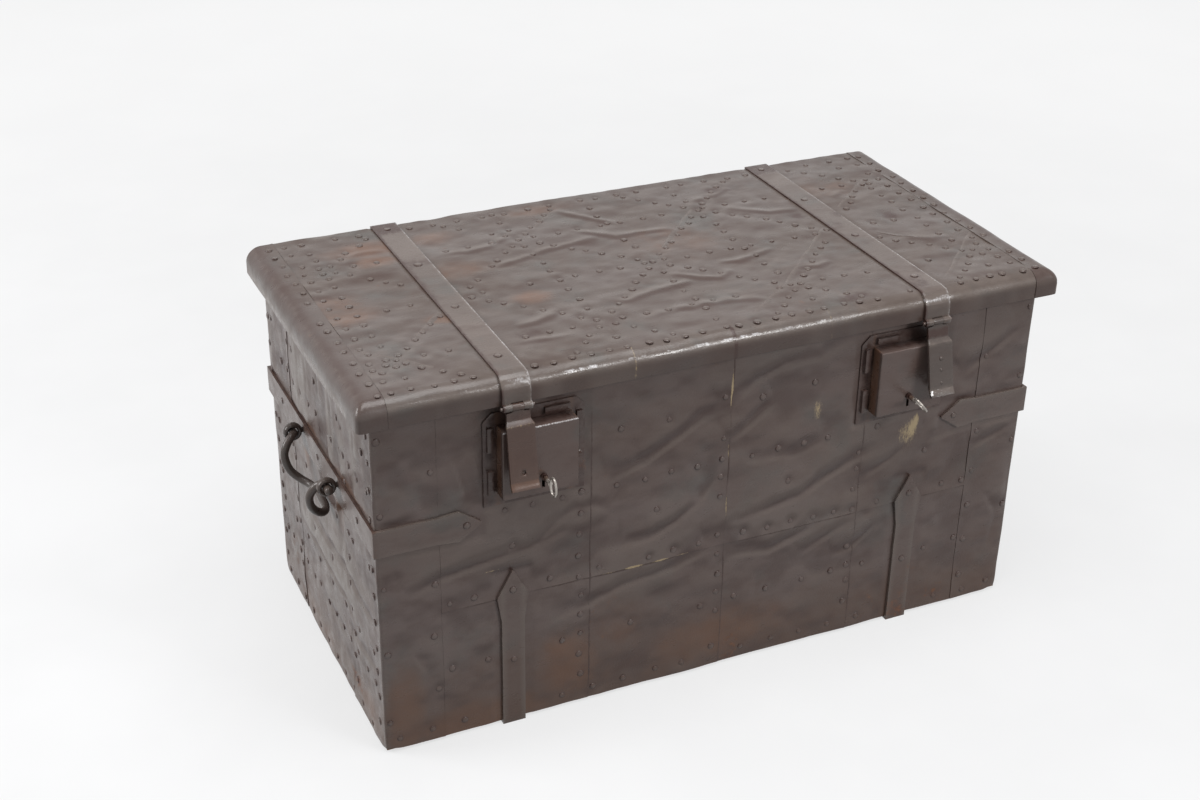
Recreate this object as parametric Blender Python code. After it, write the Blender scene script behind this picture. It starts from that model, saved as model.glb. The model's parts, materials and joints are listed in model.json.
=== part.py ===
"""Iron-clad wooden trunk: a nailed board box and lid under thin sheet iron.

Forged straps carry the lid hinges and two hasps, which close over a pair of
box locks with their keys in. A bail handle hangs on each end. Metres, +Z up,
front at -Y, and the origin under the middle of the whole trunk's box.
"""

import math

import bmesh
import bpy
from mathutils import Matrix, Vector

# Clearances
GAP = 0.0003              # between faces that touch
PIN_CLEARANCE = 0.0003    # round a hinge pin, on the radius
SHANK_CLEARANCE = 0.0005  # round a driven shank, on the radius

# Board box
BODY_LENGTH = 0.960       # over the cladding
BODY_DEPTH = 0.4714       # over the cladding
RIM_HEIGHT = 0.4947       # floor to rim
BOARD_THICKNESS = 0.022
FLOOR_THICKNESS = 0.020
REBATE_DEPTH = 0.009      # how far each end board enters the front and back boards

# Sheet iron on the box
SHEET_THICKNESS = 0.0012
SEAM_GAP = 0.0004
CORNER_WRAP = 0.082       # corner sheet's width on the front and back
FRONT_SEAMS = (-0.192, 0.008, 0.216)  # from the trunk's middle
FRONT_ROW_HEIGHT = 0.2023 # floor to the seam between the two rows
BACK_SEAMS = (-0.199, 0.0, 0.199)
END_SEAM_FRONT = 0.128    # corner sheet's width on the end, front corner
END_SEAM_BACK = 0.114     # and back corner

# Lid
LID_THICKNESS = 0.0358
LID_END_OVERHANG = 0.0202
LID_FRONT_OVERHANG = 0.0191
LID_BACK_OVERHANG = 0.0042
LID_EDGE_RADIUS = 0.020
LID_END_STRIP_WIDTH = 0.038
LID_SEAMS = (-0.1405, 0.0, 0.1405)
ARC_STEPS = 6

# Straps
STRAP_THICKNESS = 0.004
STRAP_FROM_END = 0.179    # body's end to a lid strap's middle
LID_STRAP_WIDTH = 0.038
BODY_STRAP_WIDTH = 0.032
BODY_STRAP_HEAD_WIDTH = 0.044
BODY_STRAP_HEAD_LENGTH = 0.038
BODY_STRAP_TIP_HEIGHT = 0.2423
END_STRAP_WIDTH = 0.038
END_STRAP_HEAD_WIDTH = 0.044
END_STRAP_HEAD_LENGTH = 0.030
END_STRAP_REACH = 0.138   # along the front and back, from the corner to the tip
END_STRAP_DROP = 0.168    # rim to the strap's middle
STRAP_TIP_WIDTH = 0.002

# Lid hinges
HINGE_KNUCKLE_RADIUS = 0.006
HINGE_KNUCKLE_WIDTH = 0.014
HINGE_PIN_RADIUS = 0.003
HINGE_CRANK_DROP = 0.034  # rim to where the body strap cranks outwards
ROUND_SIDES = 16

# Hasps
HASP_THICKNESS = 0.004
HASP_KNUCKLE_RADIUS = 0.005
HASP_KNUCKLE_WIDTH = 0.015
HASP_PIN_RADIUS = 0.0022
HASP_PIN_PROUD = 0.003    # the pin's end stands out of the knuckles
HASP_AXIS_DROP = 0.002    # lid's underside to the hasp's axis
HASP_NECK_WIDTH = 0.031
HASP_NECK_LENGTH = {"left": 0.018, "right": 0.024}
HASP_CRANK_LENGTH = 0.006
HASP_PLATE_WIDTH = 0.037
HASP_LENGTH = {"left": 0.107, "right": 0.103}  # axis to lower end
HASP_LIP_LENGTH = 0.010
HASP_LIP_RISE = 0.004
HASP_CASE_CLEARANCE = 0.0025
HASP_REST_DEGREES = {"left": 9.5, "right": 12.5}

# Locks
LOCK_FROM_STRAP = 0.031   # lid strap's middle to the lock's middle, towards the trunk's middle
LOCK_DROP = 0.083         # rim to the lock's middle
LOCK_PLATE_WIDTH = 0.137
LOCK_PLATE_HEIGHT = 0.132
LOCK_PLATE_CHAMFER = 0.012
LOCK_PLATE_THICKNESS = 0.002
LOCK_CASE_WIDTH = 0.102
LOCK_CASE_HEIGHT = 0.097
LOCK_CASE_PROUD = 0.025   # cladding to the case's face
LOCK_CASE_WALL = 0.0025
LOCK_CASE_BEVEL = 0.0012
CLEAT_WIDTH = 0.008
CLEAT_PROUD = 0.005
SIDE_CLEAT_LENGTH = 0.034
SIDE_CLEAT_SPACING = 0.061
TOP_CLEAT_OFFSET = 0.030  # from the lock's middle, towards the trunk's middle
KEY_FROM_LOCK = 0.003     # lock's middle to the key, towards the trunk's middle
KEY_DROP = 0.0234         # lock's middle to the key, downwards
KEY_TURN_DEGREES = 38.0   # each way from the bit standing up
KEY_REST_DEGREES = {"left": 0.0, "right": -38.0}
KEY_SHANK_RADIUS = 0.003
KEY_COLLAR_RADIUS = 0.0046
KEY_COLLAR_LENGTH = 0.003
KEY_SHANK_PROUD = 0.020   # case's face to the bow
KEY_BOW_WIDTH = 0.029
KEY_BOW_LENGTH = 0.021
KEY_BOW_WIRE = 0.0036
KEY_BIT_REACH = 0.016
KEY_BIT_THICKNESS = 0.003
KEYHOLE_CLEARANCE = 0.0006
BOLT_RISE = 0.009         # key's axis to the bolt's lower edge
BOLT_HEIGHT = 0.013
BOLT_THICKNESS = 0.007
BOLT_TAIL = 0.024         # key to the bolt's tail, at half throw
BOLT_CLEARANCE = 0.002    # bolt to the case's face wall
BOLT_GUIDE_WIDTH = 0.007
BOLT_GUIDE_SPACING = 0.032
TALON_CLEARANCE = 0.0006
STAPLE_THICKNESS = 0.004
STAPLE_BAR = 0.0027
STAPLE_BOLT_CLEARANCE = 0.0008
STAPLE_SLOT_CLEARANCE = 0.001
STAPLE_SLOT_ABOVE = 0.016 # the slot runs on upwards, so the staple lifts out with the lid
SPRING_THICKNESS = 0.0009

# End handles
HANDLE_FORWARD = 0.014    # handle's middle, forward of the trunk's middle
EYE_SPACING = 0.156
EYE_DROP = 0.1614         # rim to the eyes' axis
EYE_HOLE_RADIUS = 0.0064
EYE_WIRE = 0.007
EYE_WIDTH = 0.011         # along the axis, hammered broad
EYE_SHANK_RADIUS = 0.0035
EYE_SEGMENTS = 16
EYE_WIRE_SIDES = 8
BAIL_ROD_RADIUS = 0.0056
BAIL_STEPS = 3
# One arm of the bail, from its tip: (out from the eyes' axis, down, in from the eye).
BAIL_ARM = (
    (0.0, 0.0, -0.013),
    (0.0, 0.0, 0.0),
    (0.0003, 0.0, 0.006),
    (0.006, 0.002, 0.012),
    (0.0135, 0.010, 0.016),
    (0.018, 0.021, 0.019),
    (0.017, 0.034, 0.0225),
    (0.012, 0.046, 0.026),
    (0.002, 0.056, 0.031),
    (-0.007, 0.061, 0.041),
    (-0.011, 0.061, 0.055),
)
BAIL_MIDDLE_DOWN = 0.058

# Faces and axes that several pieces share
BOTTOM = STRAP_THICKNESS + GAP
LID_UNDERSIDE = RIM_HEIGHT + GAP
LID_TOP = LID_UNDERSIDE + LID_THICKNESS
SKIN = SHEET_THICKNESS + GAP
HALF_LENGTH = BODY_LENGTH / 2
HALF_DEPTH = BODY_DEPTH / 2
LID_END = HALF_LENGTH + LID_END_OVERHANG
LID_FRONT = HALF_DEPTH + LID_FRONT_OVERHANG
LID_BACK = HALF_DEPTH + LID_BACK_OVERHANG
STRAP_X = HALF_LENGTH - STRAP_FROM_END
HINGE_Y = LID_BACK + GAP + HINGE_KNUCKLE_RADIUS
HINGE_Z = LID_UNDERSIDE
HASP_Y = -(LID_FRONT + GAP + HASP_KNUCKLE_RADIUS)
HASP_Z = LID_UNDERSIDE - HASP_AXIS_DROP
LOCK_X = STRAP_X - LOCK_FROM_STRAP
LOCK_Z = RIM_HEIGHT - LOCK_DROP
KEY_X = LOCK_X - KEY_FROM_LOCK
KEY_Z = LOCK_Z - KEY_DROP
KEY_TO_STAPLE = STRAP_X - KEY_X
KEY_TURN = math.radians(KEY_TURN_DEGREES)
BOLT_HALF_THROW = KEY_BIT_REACH * math.sin(KEY_TURN)
PLATE_FACE = GAP + LOCK_PLATE_THICKNESS
BOLT_FACE = LOCK_CASE_PROUD - LOCK_CASE_WALL - BOLT_CLEARANCE
BOLT_BACK = BOLT_FACE - BOLT_THICKNESS
BOLT_LOW = KEY_Z + BOLT_RISE
BOLT_HIGH = BOLT_LOW + BOLT_HEIGHT
KEY_REACH = LOCK_CASE_PROUD + KEY_SHANK_PROUD + KEY_BOW_LENGTH
END_STRAP_Z = RIM_HEIGHT - END_STRAP_DROP
EYE_Z = RIM_HEIGHT - EYE_DROP
EYE_RING_RADIUS = EYE_HOLE_RADIUS + EYE_WIRE / 2
EYE_X = HALF_LENGTH + GAP + STRAP_THICKNESS + GAP + EYE_RING_RADIUS + EYE_WIRE / 2
SIDES = (("left", -1), ("right", 1))

FRONT_REACH = HALF_DEPTH + KEY_REACH
BACK_REACH = HINGE_Y + HINGE_KNUCKLE_RADIUS
FRAME_SHIFT = (FRONT_REACH - BACK_REACH) / 2


def clear_scene():
    for old in list(bpy.data.objects):
        bpy.data.objects.remove(old, do_unlink=True)


def finish_of(name, colour, roughness, metallic):
    material = bpy.data.materials.new(name)
    material.use_nodes = True
    shader = material.node_tree.nodes["Principled BSDF"]
    shader.inputs["Base Color"].default_value = (*colour, 1.0)
    shader.inputs["Roughness"].default_value = roughness
    shader.inputs["Metallic"].default_value = metallic
    return material


def frame_empty():
    empty = bpy.data.objects.new("trunk", None)
    empty.location = (0.0, FRAME_SHIFT, 0.0)
    bpy.context.scene.collection.objects.link(empty)
    return empty


clear_scene()
TRUNK = frame_empty()
WOOD = finish_of("pine_board", (0.36, 0.23, 0.12), 0.75, 0.0)
SHEET = finish_of("sheet_iron", (0.10, 0.08, 0.07), 0.5, 0.6)
LID_SHEET = finish_of("lid_sheet_iron", (0.13, 0.10, 0.09), 0.5, 0.6)
FORGED = finish_of("forged_strap", (0.08, 0.065, 0.06), 0.5, 0.7)
LOCK_IRON = finish_of("lock_iron", (0.09, 0.08, 0.075), 0.45, 0.7)
BRIGHT = finish_of("key_steel", (0.45, 0.43, 0.40), 0.35, 1.0)
HANDLE_IRON = finish_of("handle_iron", (0.07, 0.055, 0.05), 0.5, 0.7)


def mesh_from(bm, name):
    """The bmesh as a mesh, facing out, smooth but for its sharp edges."""
    bmesh.ops.recalc_face_normals(bm, faces=bm.faces)
    mesh = bpy.data.meshes.new(name)
    bm.to_mesh(mesh)
    bm.free()
    mesh.shade_smooth()
    mesh.set_sharp_from_angle(angle=math.radians(35))
    return mesh


def along(axis, u, v, w):
    """The point at w along the axis and at (u, v) across it, in X, Y, Z order."""
    return {"X": (w, u, v), "Y": (u, w, v), "Z": (u, v, w)}[axis]


def prism(axis, outline, low, high):
    bm = bmesh.new()
    first = [bm.verts.new(along(axis, u, v, low)) for u, v in outline]
    last = [bm.verts.new(along(axis, u, v, high)) for u, v in outline]
    bm.faces.new(first)
    bm.faces.new(reversed(last))
    for i in range(len(outline)):
        j = (i + 1) % len(outline)
        bm.faces.new((first[i], first[j], last[j], last[i]))
    return mesh_from(bm, "prism")


def box(x_range, y_range, z_range):
    x0, x1 = sorted(x_range)
    y0, y1 = sorted(y_range)
    return prism("Z", ((x0, y0), (x1, y0), (x1, y1), (x0, y1)), *sorted(z_range))


def circle(centre, radius, sides=ROUND_SIDES):
    turn = 2 * math.pi / sides
    return [
        (centre[0] + radius * math.cos(i * turn), centre[1] + radius * math.sin(i * turn))
        for i in range(sides)
    ]


def rod(axis, centre, radius, low, high):
    return prism(axis, circle(centre, radius), min(low, high), max(low, high))


def oval_ring(axis, centre, half_u, half_v, wire_radius, half_width):
    """A closed ring round the axis, through half_u and half_v at the wire's middle."""
    bm = bmesh.new()
    rings = []
    for i in range(EYE_SEGMENTS):
        turn = 2 * math.pi * i / EYE_SEGMENTS
        ring = []
        for j in range(EYE_WIRE_SIDES):
            roll = 2 * math.pi * j / EYE_WIRE_SIDES
            grow = wire_radius * math.cos(roll)
            u = centre[0] + (half_u + grow) * math.cos(turn)
            v = centre[1] + (half_v + grow) * math.sin(turn)
            ring.append(bm.verts.new(along(axis, u, v, centre[2] + half_width * math.sin(roll))))
        rings.append(ring)
    for i, ring in enumerate(rings):
        after = rings[(i + 1) % EYE_SEGMENTS]
        for j in range(EYE_WIRE_SIDES):
            k = (j + 1) % EYE_WIRE_SIDES
            bm.faces.new((ring[j], ring[k], after[k], after[j]))
    return mesh_from(bm, "ring")


def offset_path(path, distance):
    """The path moved to its right, with mitred corners."""
    points = [Vector(p) for p in path]
    normals = []
    for a, b in zip(points, points[1:]):
        run = (b - a).normalized()
        normals.append(Vector((run.y, -run.x)))
    moved = []
    for i, point in enumerate(points):
        before = normals[max(i - 1, 0)]
        after = normals[min(i, len(normals) - 1)]
        mitre = (before + after).normalized()
        moved.append(point + mitre * (distance / mitre.dot(after)))
    return moved


def band(axis, path, half_widths, thickness, middle=0.0):
    """A flat bar bent along a path, its width along the axis, its thickness to the path's right."""
    bm = bmesh.new()
    stations = []
    for near, far, half in zip(path, offset_path(path, thickness), half_widths):
        corners = ((near, -half), (near, half), (far, half), (far, -half))
        stations.append([bm.verts.new(along(axis, p[0], p[1], middle + w)) for p, w in corners])
    for first, last in zip(stations, stations[1:]):
        for i in range(4):
            j = (i + 1) % 4
            bm.faces.new((first[i], first[j], last[j], last[i]))
    bm.faces.new(stations[0])
    bm.faces.new(reversed(stations[-1]))
    return mesh_from(bm, "band")


def piece(name, mesh, material, pivot=(0.0, 0.0, 0.0)):
    """A named piece whose mesh is given where it stands, with its origin at the pivot."""
    pivot = Vector(pivot)
    if isinstance(mesh, bpy.types.Mesh):
        mesh.transform(Matrix.Translation(-pivot))
    mesh.materials.append(material)
    obj = bpy.data.objects.new(name, mesh)
    obj.location = pivot
    obj.parent = TRUNK
    bpy.context.scene.collection.objects.link(obj)
    return obj


def boolean(owner, operation, mesh):
    """Joins or cuts a shape that is given where the piece stood before it was turned."""
    mesh.transform(Matrix.Translation(-owner.location))
    tool = bpy.data.objects.new(f"{owner.name}_{operation.lower()}", mesh)
    tool.parent = owner
    tool.hide_render = True
    tool.display_type = "WIRE"
    bpy.context.scene.collection.objects.link(tool)
    modifier = owner.modifiers.new(operation.title(), "BOOLEAN")
    modifier.operation = operation
    modifier.object = tool


def build_boards():
    """Front and back boards, rebated for the end boards, and the floor between them."""
    end = HALF_LENGTH - SKIN
    side = HALF_DEPTH - SKIN
    inner_end = end - BOARD_THICKNESS
    inner_side = side - BOARD_THICKNESS
    rebate = inner_side + REBATE_DEPTH
    for name, sign in (("front_board", -1), ("back_board", 1)):
        outline = [
            (-end, sign * side), (end, sign * side), (end, sign * rebate),
            (inner_end, sign * rebate), (inner_end, sign * inner_side),
            (-inner_end, sign * inner_side), (-inner_end, sign * rebate), (-end, sign * rebate),
        ]
        piece(name, prism("Z", outline, BOTTOM, RIM_HEIGHT), WOOD)
    reach = rebate - GAP
    boards = {}
    for side_name, sign in SIDES:
        span = (sign * (inner_end + GAP), sign * end)
        board = box(span, (-reach, reach), (BOTTOM, RIM_HEIGHT))
        boards[side_name] = piece(f"{side_name}_end_board", board, WOOD)
    floor_x = inner_end
    floor_y = inner_side - GAP
    floor = box((-floor_x, floor_x), (-floor_y, floor_y), (BOTTOM, BOTTOM + FLOOR_THICKNESS))
    piece("bottom_board", floor, WOOD)
    return boards


def spans(edges):
    """Neighbouring spans between the edges, parted by the seam gap."""
    half = SEAM_GAP / 2
    return [(a + half, b - half) for a, b in zip(edges, edges[1:])]


def build_box_sheets():
    """Two rows on the front, one on the back, and sheets bent round the four corners."""
    outer = HALF_DEPTH
    inner = HALF_DEPTH - SHEET_THICKNESS
    wrap = HALF_LENGTH - CORNER_WRAP
    rows = spans((BOTTOM - SEAM_GAP / 2, FRONT_ROW_HEIGHT, RIM_HEIGHT + SEAM_GAP / 2))
    for row_name, row in zip(("lower", "upper"), rows):
        for i, column in enumerate(spans((-wrap, *FRONT_SEAMS, wrap)), start=1):
            piece(f"front_sheet_{row_name}_{i}", box(column, (-outer, -inner), row), SHEET)
    for i, column in enumerate(spans((-wrap, *BACK_SEAMS, wrap)), start=1):
        piece(f"back_sheet_{i}", box(column, (inner, outer), (BOTTOM, RIM_HEIGHT)), SHEET)

    half = SEAM_GAP / 2
    front_seam = -HALF_DEPTH + END_SEAM_FRONT
    back_seam = HALF_DEPTH - END_SEAM_BACK
    end_inner = HALF_LENGTH - SHEET_THICKNESS
    made = {}
    for side, x_sign in SIDES:
        made[side] = []
        for place, y_sign, seam in (("front", -1, front_seam), ("back", 1, back_seam)):
            edge = seam + y_sign * half
            outline = [
                (x_sign * (wrap + half), y_sign * outer), (x_sign * HALF_LENGTH, y_sign * outer),
                (x_sign * HALF_LENGTH, edge), (x_sign * end_inner, edge),
                (x_sign * end_inner, y_sign * inner), (x_sign * (wrap + half), y_sign * inner),
            ]
            sheet = prism("Z", outline, BOTTOM, RIM_HEIGHT)
            made[side].append(piece(f"corner_sheet_{place}_{side}", sheet, SHEET))
        span = (front_seam + half, back_seam - half)
        sheet = box((x_sign * end_inner, x_sign * HALF_LENGTH), span, (BOTTOM, RIM_HEIGHT))
        made[side].append(piece(f"end_sheet_{side}", sheet, SHEET))
    return made


def lid_edge(depth):
    """(inset, height) up the lid's rounded edge, on a skin that deep under its surface."""
    radius = LID_EDGE_RADIUS - depth
    centre = LID_TOP - LID_EDGE_RADIUS
    points = [(depth, LID_UNDERSIDE)]
    for i in range(ARC_STEPS + 1):
        turn = math.pi / 2 * i / ARC_STEPS
        inset = LID_EDGE_RADIUS - radius * math.cos(turn)
        points.append((inset, centre + radius * math.sin(turn)))
    return points


def lid_block(depth, low_end, high_end, back, underside):
    """A block under the lid's surface. An end is a flat cut, or rounded where it is None."""
    bm = bmesh.new()
    rings = []
    for inset, height in lid_edge(depth):
        x0 = -LID_END + inset if low_end is None else low_end
        x1 = LID_END - inset if high_end is None else high_end
        y0 = -LID_FRONT + inset
        z = underside if height == LID_UNDERSIDE else height
        corners = ((x0, y0), (x1, y0), (x1, back), (x0, back))
        rings.append([bm.verts.new((x, y, z)) for x, y in corners])
    for first, last in zip(rings, rings[1:]):
        for i in range(4):
            j = (i + 1) % 4
            bm.faces.new((first[i], first[j], last[j], last[i]))
    bm.faces.new(reversed(rings[0]))
    bm.faces.new(rings[-1])
    return mesh_from(bm, "lid")


def lid_face(depth):
    """(y, z) from the lid's back edge over its top and down its front."""
    front = [(-LID_FRONT + inset, height) for inset, height in reversed(lid_edge(depth))]
    return [(LID_BACK, LID_TOP - depth), *front]


def build_lid():
    """The board, four sheets bent over its front edge, and a strip over each end."""
    pivot = (0.0, HINGE_Y, HINGE_Z)
    board = lid_block(SKIN, None, None, LID_BACK, LID_UNDERSIDE)
    piece("lid_board", board, WOOD, pivot)
    seam = LID_END - LID_END_STRIP_WIDTH
    profile = lid_face(0.0) + list(reversed(lid_face(SHEET_THICKNESS)))
    for i, (low, high) in enumerate(spans((-seam, *LID_SEAMS, seam)), start=1):
        piece(f"lid_sheet_{i}", prism("X", profile, low, high), LID_SHEET, pivot)
    start = seam + SEAM_GAP / 2
    past = LID_END_STRIP_WIDTH
    for side, sign in SIDES:
        cut, through = (-start, past - start) if sign < 0 else (start, start - past)
        ends = (None, cut) if sign < 0 else (cut, None)
        tool_ends = (None, through) if sign < 0 else (through, None)
        strip = lid_block(0.0, *ends, LID_BACK, LID_UNDERSIDE)
        obj = piece(f"lid_end_strip_{side}", strip, LID_SHEET, pivot)
        hollow = lid_block(SHEET_THICKNESS, *tool_ends, LID_BACK + past, LID_UNDERSIDE - past)
        boolean(obj, "DIFFERENCE", hollow)


def knuckles(owner, centre, x_spans, radius):
    for low, high in x_spans:
        boolean(owner, "UNION", rod("X", centre, radius, low, high))


def split(x, total, middle):
    """The two outer knuckles' spans beside a middle knuckle."""
    inner = middle / 2 + GAP
    return ((x - total / 2, x - inner), (x + inner, x + total / 2))


def build_lid_straps():
    """Each lid strap runs from the back hinge over the lid to the hasp's knuckles."""
    pivot = (0.0, HINGE_Y, HINGE_Z)
    half = LID_STRAP_WIDTH / 2
    surface = [(LID_BACK, HINGE_Z), *lid_face(0.0)[:-1], (-LID_FRONT, HASP_Z)]
    path = offset_path(surface, GAP)
    hinge_notch = HINGE_Z + HINGE_KNUCKLE_RADIUS + GAP * 2
    hasp_notch = HASP_Z + HASP_KNUCKLE_RADIUS + GAP * 2
    beyond = LID_STRAP_WIDTH
    for side, sign in SIDES:
        x = sign * STRAP_X
        strap = band("X", path, [half] * len(path), STRAP_THICKNESS, x)
        obj = piece(f"lid_strap_{side}", strap, FORGED, pivot)
        back = (LID_BACK, LID_BACK + beyond)
        for outer in split(x, LID_STRAP_WIDTH + beyond, HINGE_KNUCKLE_WIDTH):
            boolean(obj, "DIFFERENCE", box(outer, back, (HINGE_Z - beyond, hinge_notch)))
        front = (-LID_FRONT, -LID_FRONT - beyond)
        middle = HASP_KNUCKLE_WIDTH / 2 + GAP
        boolean(obj, "DIFFERENCE", box((x - middle, x + middle), front, (HASP_Z - beyond, hasp_notch)))
        own = ((x - HINGE_KNUCKLE_WIDTH / 2, x + HINGE_KNUCKLE_WIDTH / 2),)
        knuckles(obj, (HINGE_Y, HINGE_Z), own, HINGE_KNUCKLE_RADIUS)
        outer = split(x, LID_STRAP_WIDTH, HASP_KNUCKLE_WIDTH)
        knuckles(obj, (HASP_Y, HASP_Z), outer, HASP_KNUCKLE_RADIUS)
        bore = HINGE_PIN_RADIUS + PIN_CLEARANCE
        boolean(obj, "DIFFERENCE", rod("X", (HINGE_Y, HINGE_Z), bore, x - beyond, x + beyond))
        bore = HASP_PIN_RADIUS + PIN_CLEARANCE
        boolean(obj, "DIFFERENCE", rod("X", (HASP_Y, HASP_Z), bore, x - beyond, x + beyond))


def build_body_straps():
    """Each body strap runs from its point on the front, under the floor, to the back hinge."""
    half = BODY_STRAP_WIDTH / 2
    head = BODY_STRAP_HEAD_WIDTH / 2
    front = -HALF_DEPTH - GAP
    back = HALF_DEPTH + GAP
    under = BOTTOM - GAP
    crank = RIM_HEIGHT - HINGE_CRANK_DROP
    barrel_y = HINGE_Y - STRAP_THICKNESS / 2
    shoulder = HINGE_Z - HINGE_KNUCKLE_RADIUS - GAP * 2
    stations = [
        (front, BODY_STRAP_TIP_HEIGHT, STRAP_TIP_WIDTH / 2),
        (front, BODY_STRAP_TIP_HEIGHT - BODY_STRAP_HEAD_LENGTH, head),
        (front, BODY_STRAP_TIP_HEIGHT - BODY_STRAP_HEAD_LENGTH * 2, half),
        (front, under, half),
        (back, under, half),
        (back, crank, half),
        (barrel_y, (crank + shoulder) / 2, half),
        (barrel_y, HINGE_Z, half),
    ]
    path = [(y, z) for y, z, _ in stations]
    widths = [width for _, _, width in stations]
    beyond = BODY_STRAP_WIDTH
    middle = HINGE_KNUCKLE_WIDTH / 2 + GAP
    for side, sign in SIDES:
        x = sign * STRAP_X
        obj = piece(f"body_strap_{side}", band("X", path, widths, STRAP_THICKNESS, x), FORGED)
        room = (barrel_y - beyond, barrel_y + beyond)
        boolean(obj, "DIFFERENCE", box((x - middle, x + middle), room, (shoulder, HINGE_Z + beyond)))
        outer = split(x, BODY_STRAP_WIDTH, HINGE_KNUCKLE_WIDTH)
        knuckles(obj, (HINGE_Y, HINGE_Z), outer, HINGE_KNUCKLE_RADIUS)
        bore = HINGE_PIN_RADIUS + PIN_CLEARANCE
        boolean(obj, "DIFFERENCE", rod("X", (HINGE_Y, HINGE_Z), bore, x - beyond, x + beyond))
        pin = rod("X", (HINGE_Y, HINGE_Z), HINGE_PIN_RADIUS, x - half, x + half)
        piece(f"hinge_pin_{side}", pin, FORGED)


def build_end_straps():
    """Each end strap wraps one end and ends in a point on the front and the back."""
    end = HALF_LENGTH + GAP
    side_y = HALF_DEPTH + GAP
    tip = HALF_LENGTH - END_STRAP_REACH
    head = tip + END_STRAP_HEAD_LENGTH
    neck = head + END_STRAP_HEAD_LENGTH
    widths = [STRAP_TIP_WIDTH, END_STRAP_HEAD_WIDTH, END_STRAP_WIDTH, END_STRAP_WIDTH]
    widths += reversed(widths)
    halves = [width / 2 for width in widths]
    made = {}
    for side, sign in SIDES:
        leg = [(sign * x, sign * -side_y) for x in (tip, head, neck, end)]
        path = leg + [(x, -y) for x, y in reversed(leg)]
        strap = band("Z", path, halves, STRAP_THICKNESS, END_STRAP_Z)
        made[side] = piece(f"end_strap_{side}", strap, FORGED)
    return made


def build_hasps():
    """Each hasp hangs from a lid strap and has the staple that enters the lock on its back."""
    plate = -(HALF_DEPTH + LOCK_CASE_PROUD + HASP_CASE_CLEARANCE)
    neck_back = HASP_Y + HASP_THICKNESS / 2
    shoulder = HASP_Z - HASP_KNUCKLE_RADIUS - GAP * 2
    tongue = HASP_KNUCKLE_WIDTH / 2
    neck = HASP_NECK_WIDTH / 2
    wide = HASP_PLATE_WIDTH / 2
    staple_tip = -(HALF_DEPTH + BOLT_BACK - STAPLE_BOLT_CLEARANCE - STAPLE_BAR)
    hole_y = (
        -(HALF_DEPTH + BOLT_BACK - STAPLE_BOLT_CLEARANCE),
        -(HALF_DEPTH + BOLT_FACE + STAPLE_BOLT_CLEARANCE),
    )
    hole_z = (BOLT_LOW - STAPLE_BOLT_CLEARANCE, BOLT_HIGH + STAPLE_BOLT_CLEARANCE)
    staple_z = (hole_z[0] - STAPLE_BAR, hole_z[1] + STAPLE_BAR)
    for side, sign in SIDES:
        x = sign * STRAP_X
        pivot = (x, HASP_Y, HASP_Z)
        neck_end = HASP_Z - HASP_NECK_LENGTH[side]
        plate_top = neck_end - HASP_CRANK_LENGTH
        lower_end = HASP_Z - HASP_LENGTH[side]
        lip = lower_end + HASP_LIP_LENGTH
        stations = [
            (neck_back, HASP_Z, tongue),
            (neck_back, shoulder, tongue),
            (neck_back, shoulder - HASP_THICKNESS / 4, neck),
            (neck_back, neck_end, neck),
            (plate, plate_top, wide),
            (plate, lip, wide),
            (plate - HASP_LIP_RISE, lower_end, wide),
        ]
        path = [(y, z) for y, z, _ in stations]
        widths = [width for _, _, width in stations]
        obj = piece(f"hasp_{side}", band("X", path, widths, HASP_THICKNESS, x), FORGED, pivot)
        knuckles(obj, (HASP_Y, HASP_Z), ((x - tongue, x + tongue),), HASP_KNUCKLE_RADIUS)
        thick = (x - STAPLE_THICKNESS / 2, x + STAPLE_THICKNESS / 2)
        boolean(obj, "UNION", box(thick, (staple_tip, plate - HASP_THICKNESS / 2), staple_z))
        through = (x - STAPLE_THICKNESS, x + STAPLE_THICKNESS)
        boolean(obj, "DIFFERENCE", box(through, hole_y, hole_z))
        bore = HASP_PIN_RADIUS + PIN_CLEARANCE
        long = HASP_KNUCKLE_WIDTH
        boolean(obj, "DIFFERENCE", rod("X", (HASP_Y, HASP_Z), bore, x - long, x + long))
        obj.rotation_euler.x = math.radians(-HASP_REST_DEGREES[side])
        reach = LID_STRAP_WIDTH / 2 + HASP_PIN_PROUD
        pin = rod("X", (HASP_Y, HASP_Z), HASP_PIN_RADIUS, x - reach, x + reach)
        piece(f"hasp_pin_{side}", pin, FORGED, (0.0, HINGE_Y, HINGE_Z))
    return staple_z


def front_y(proud):
    return -(HALF_DEPTH + proud)


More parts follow.
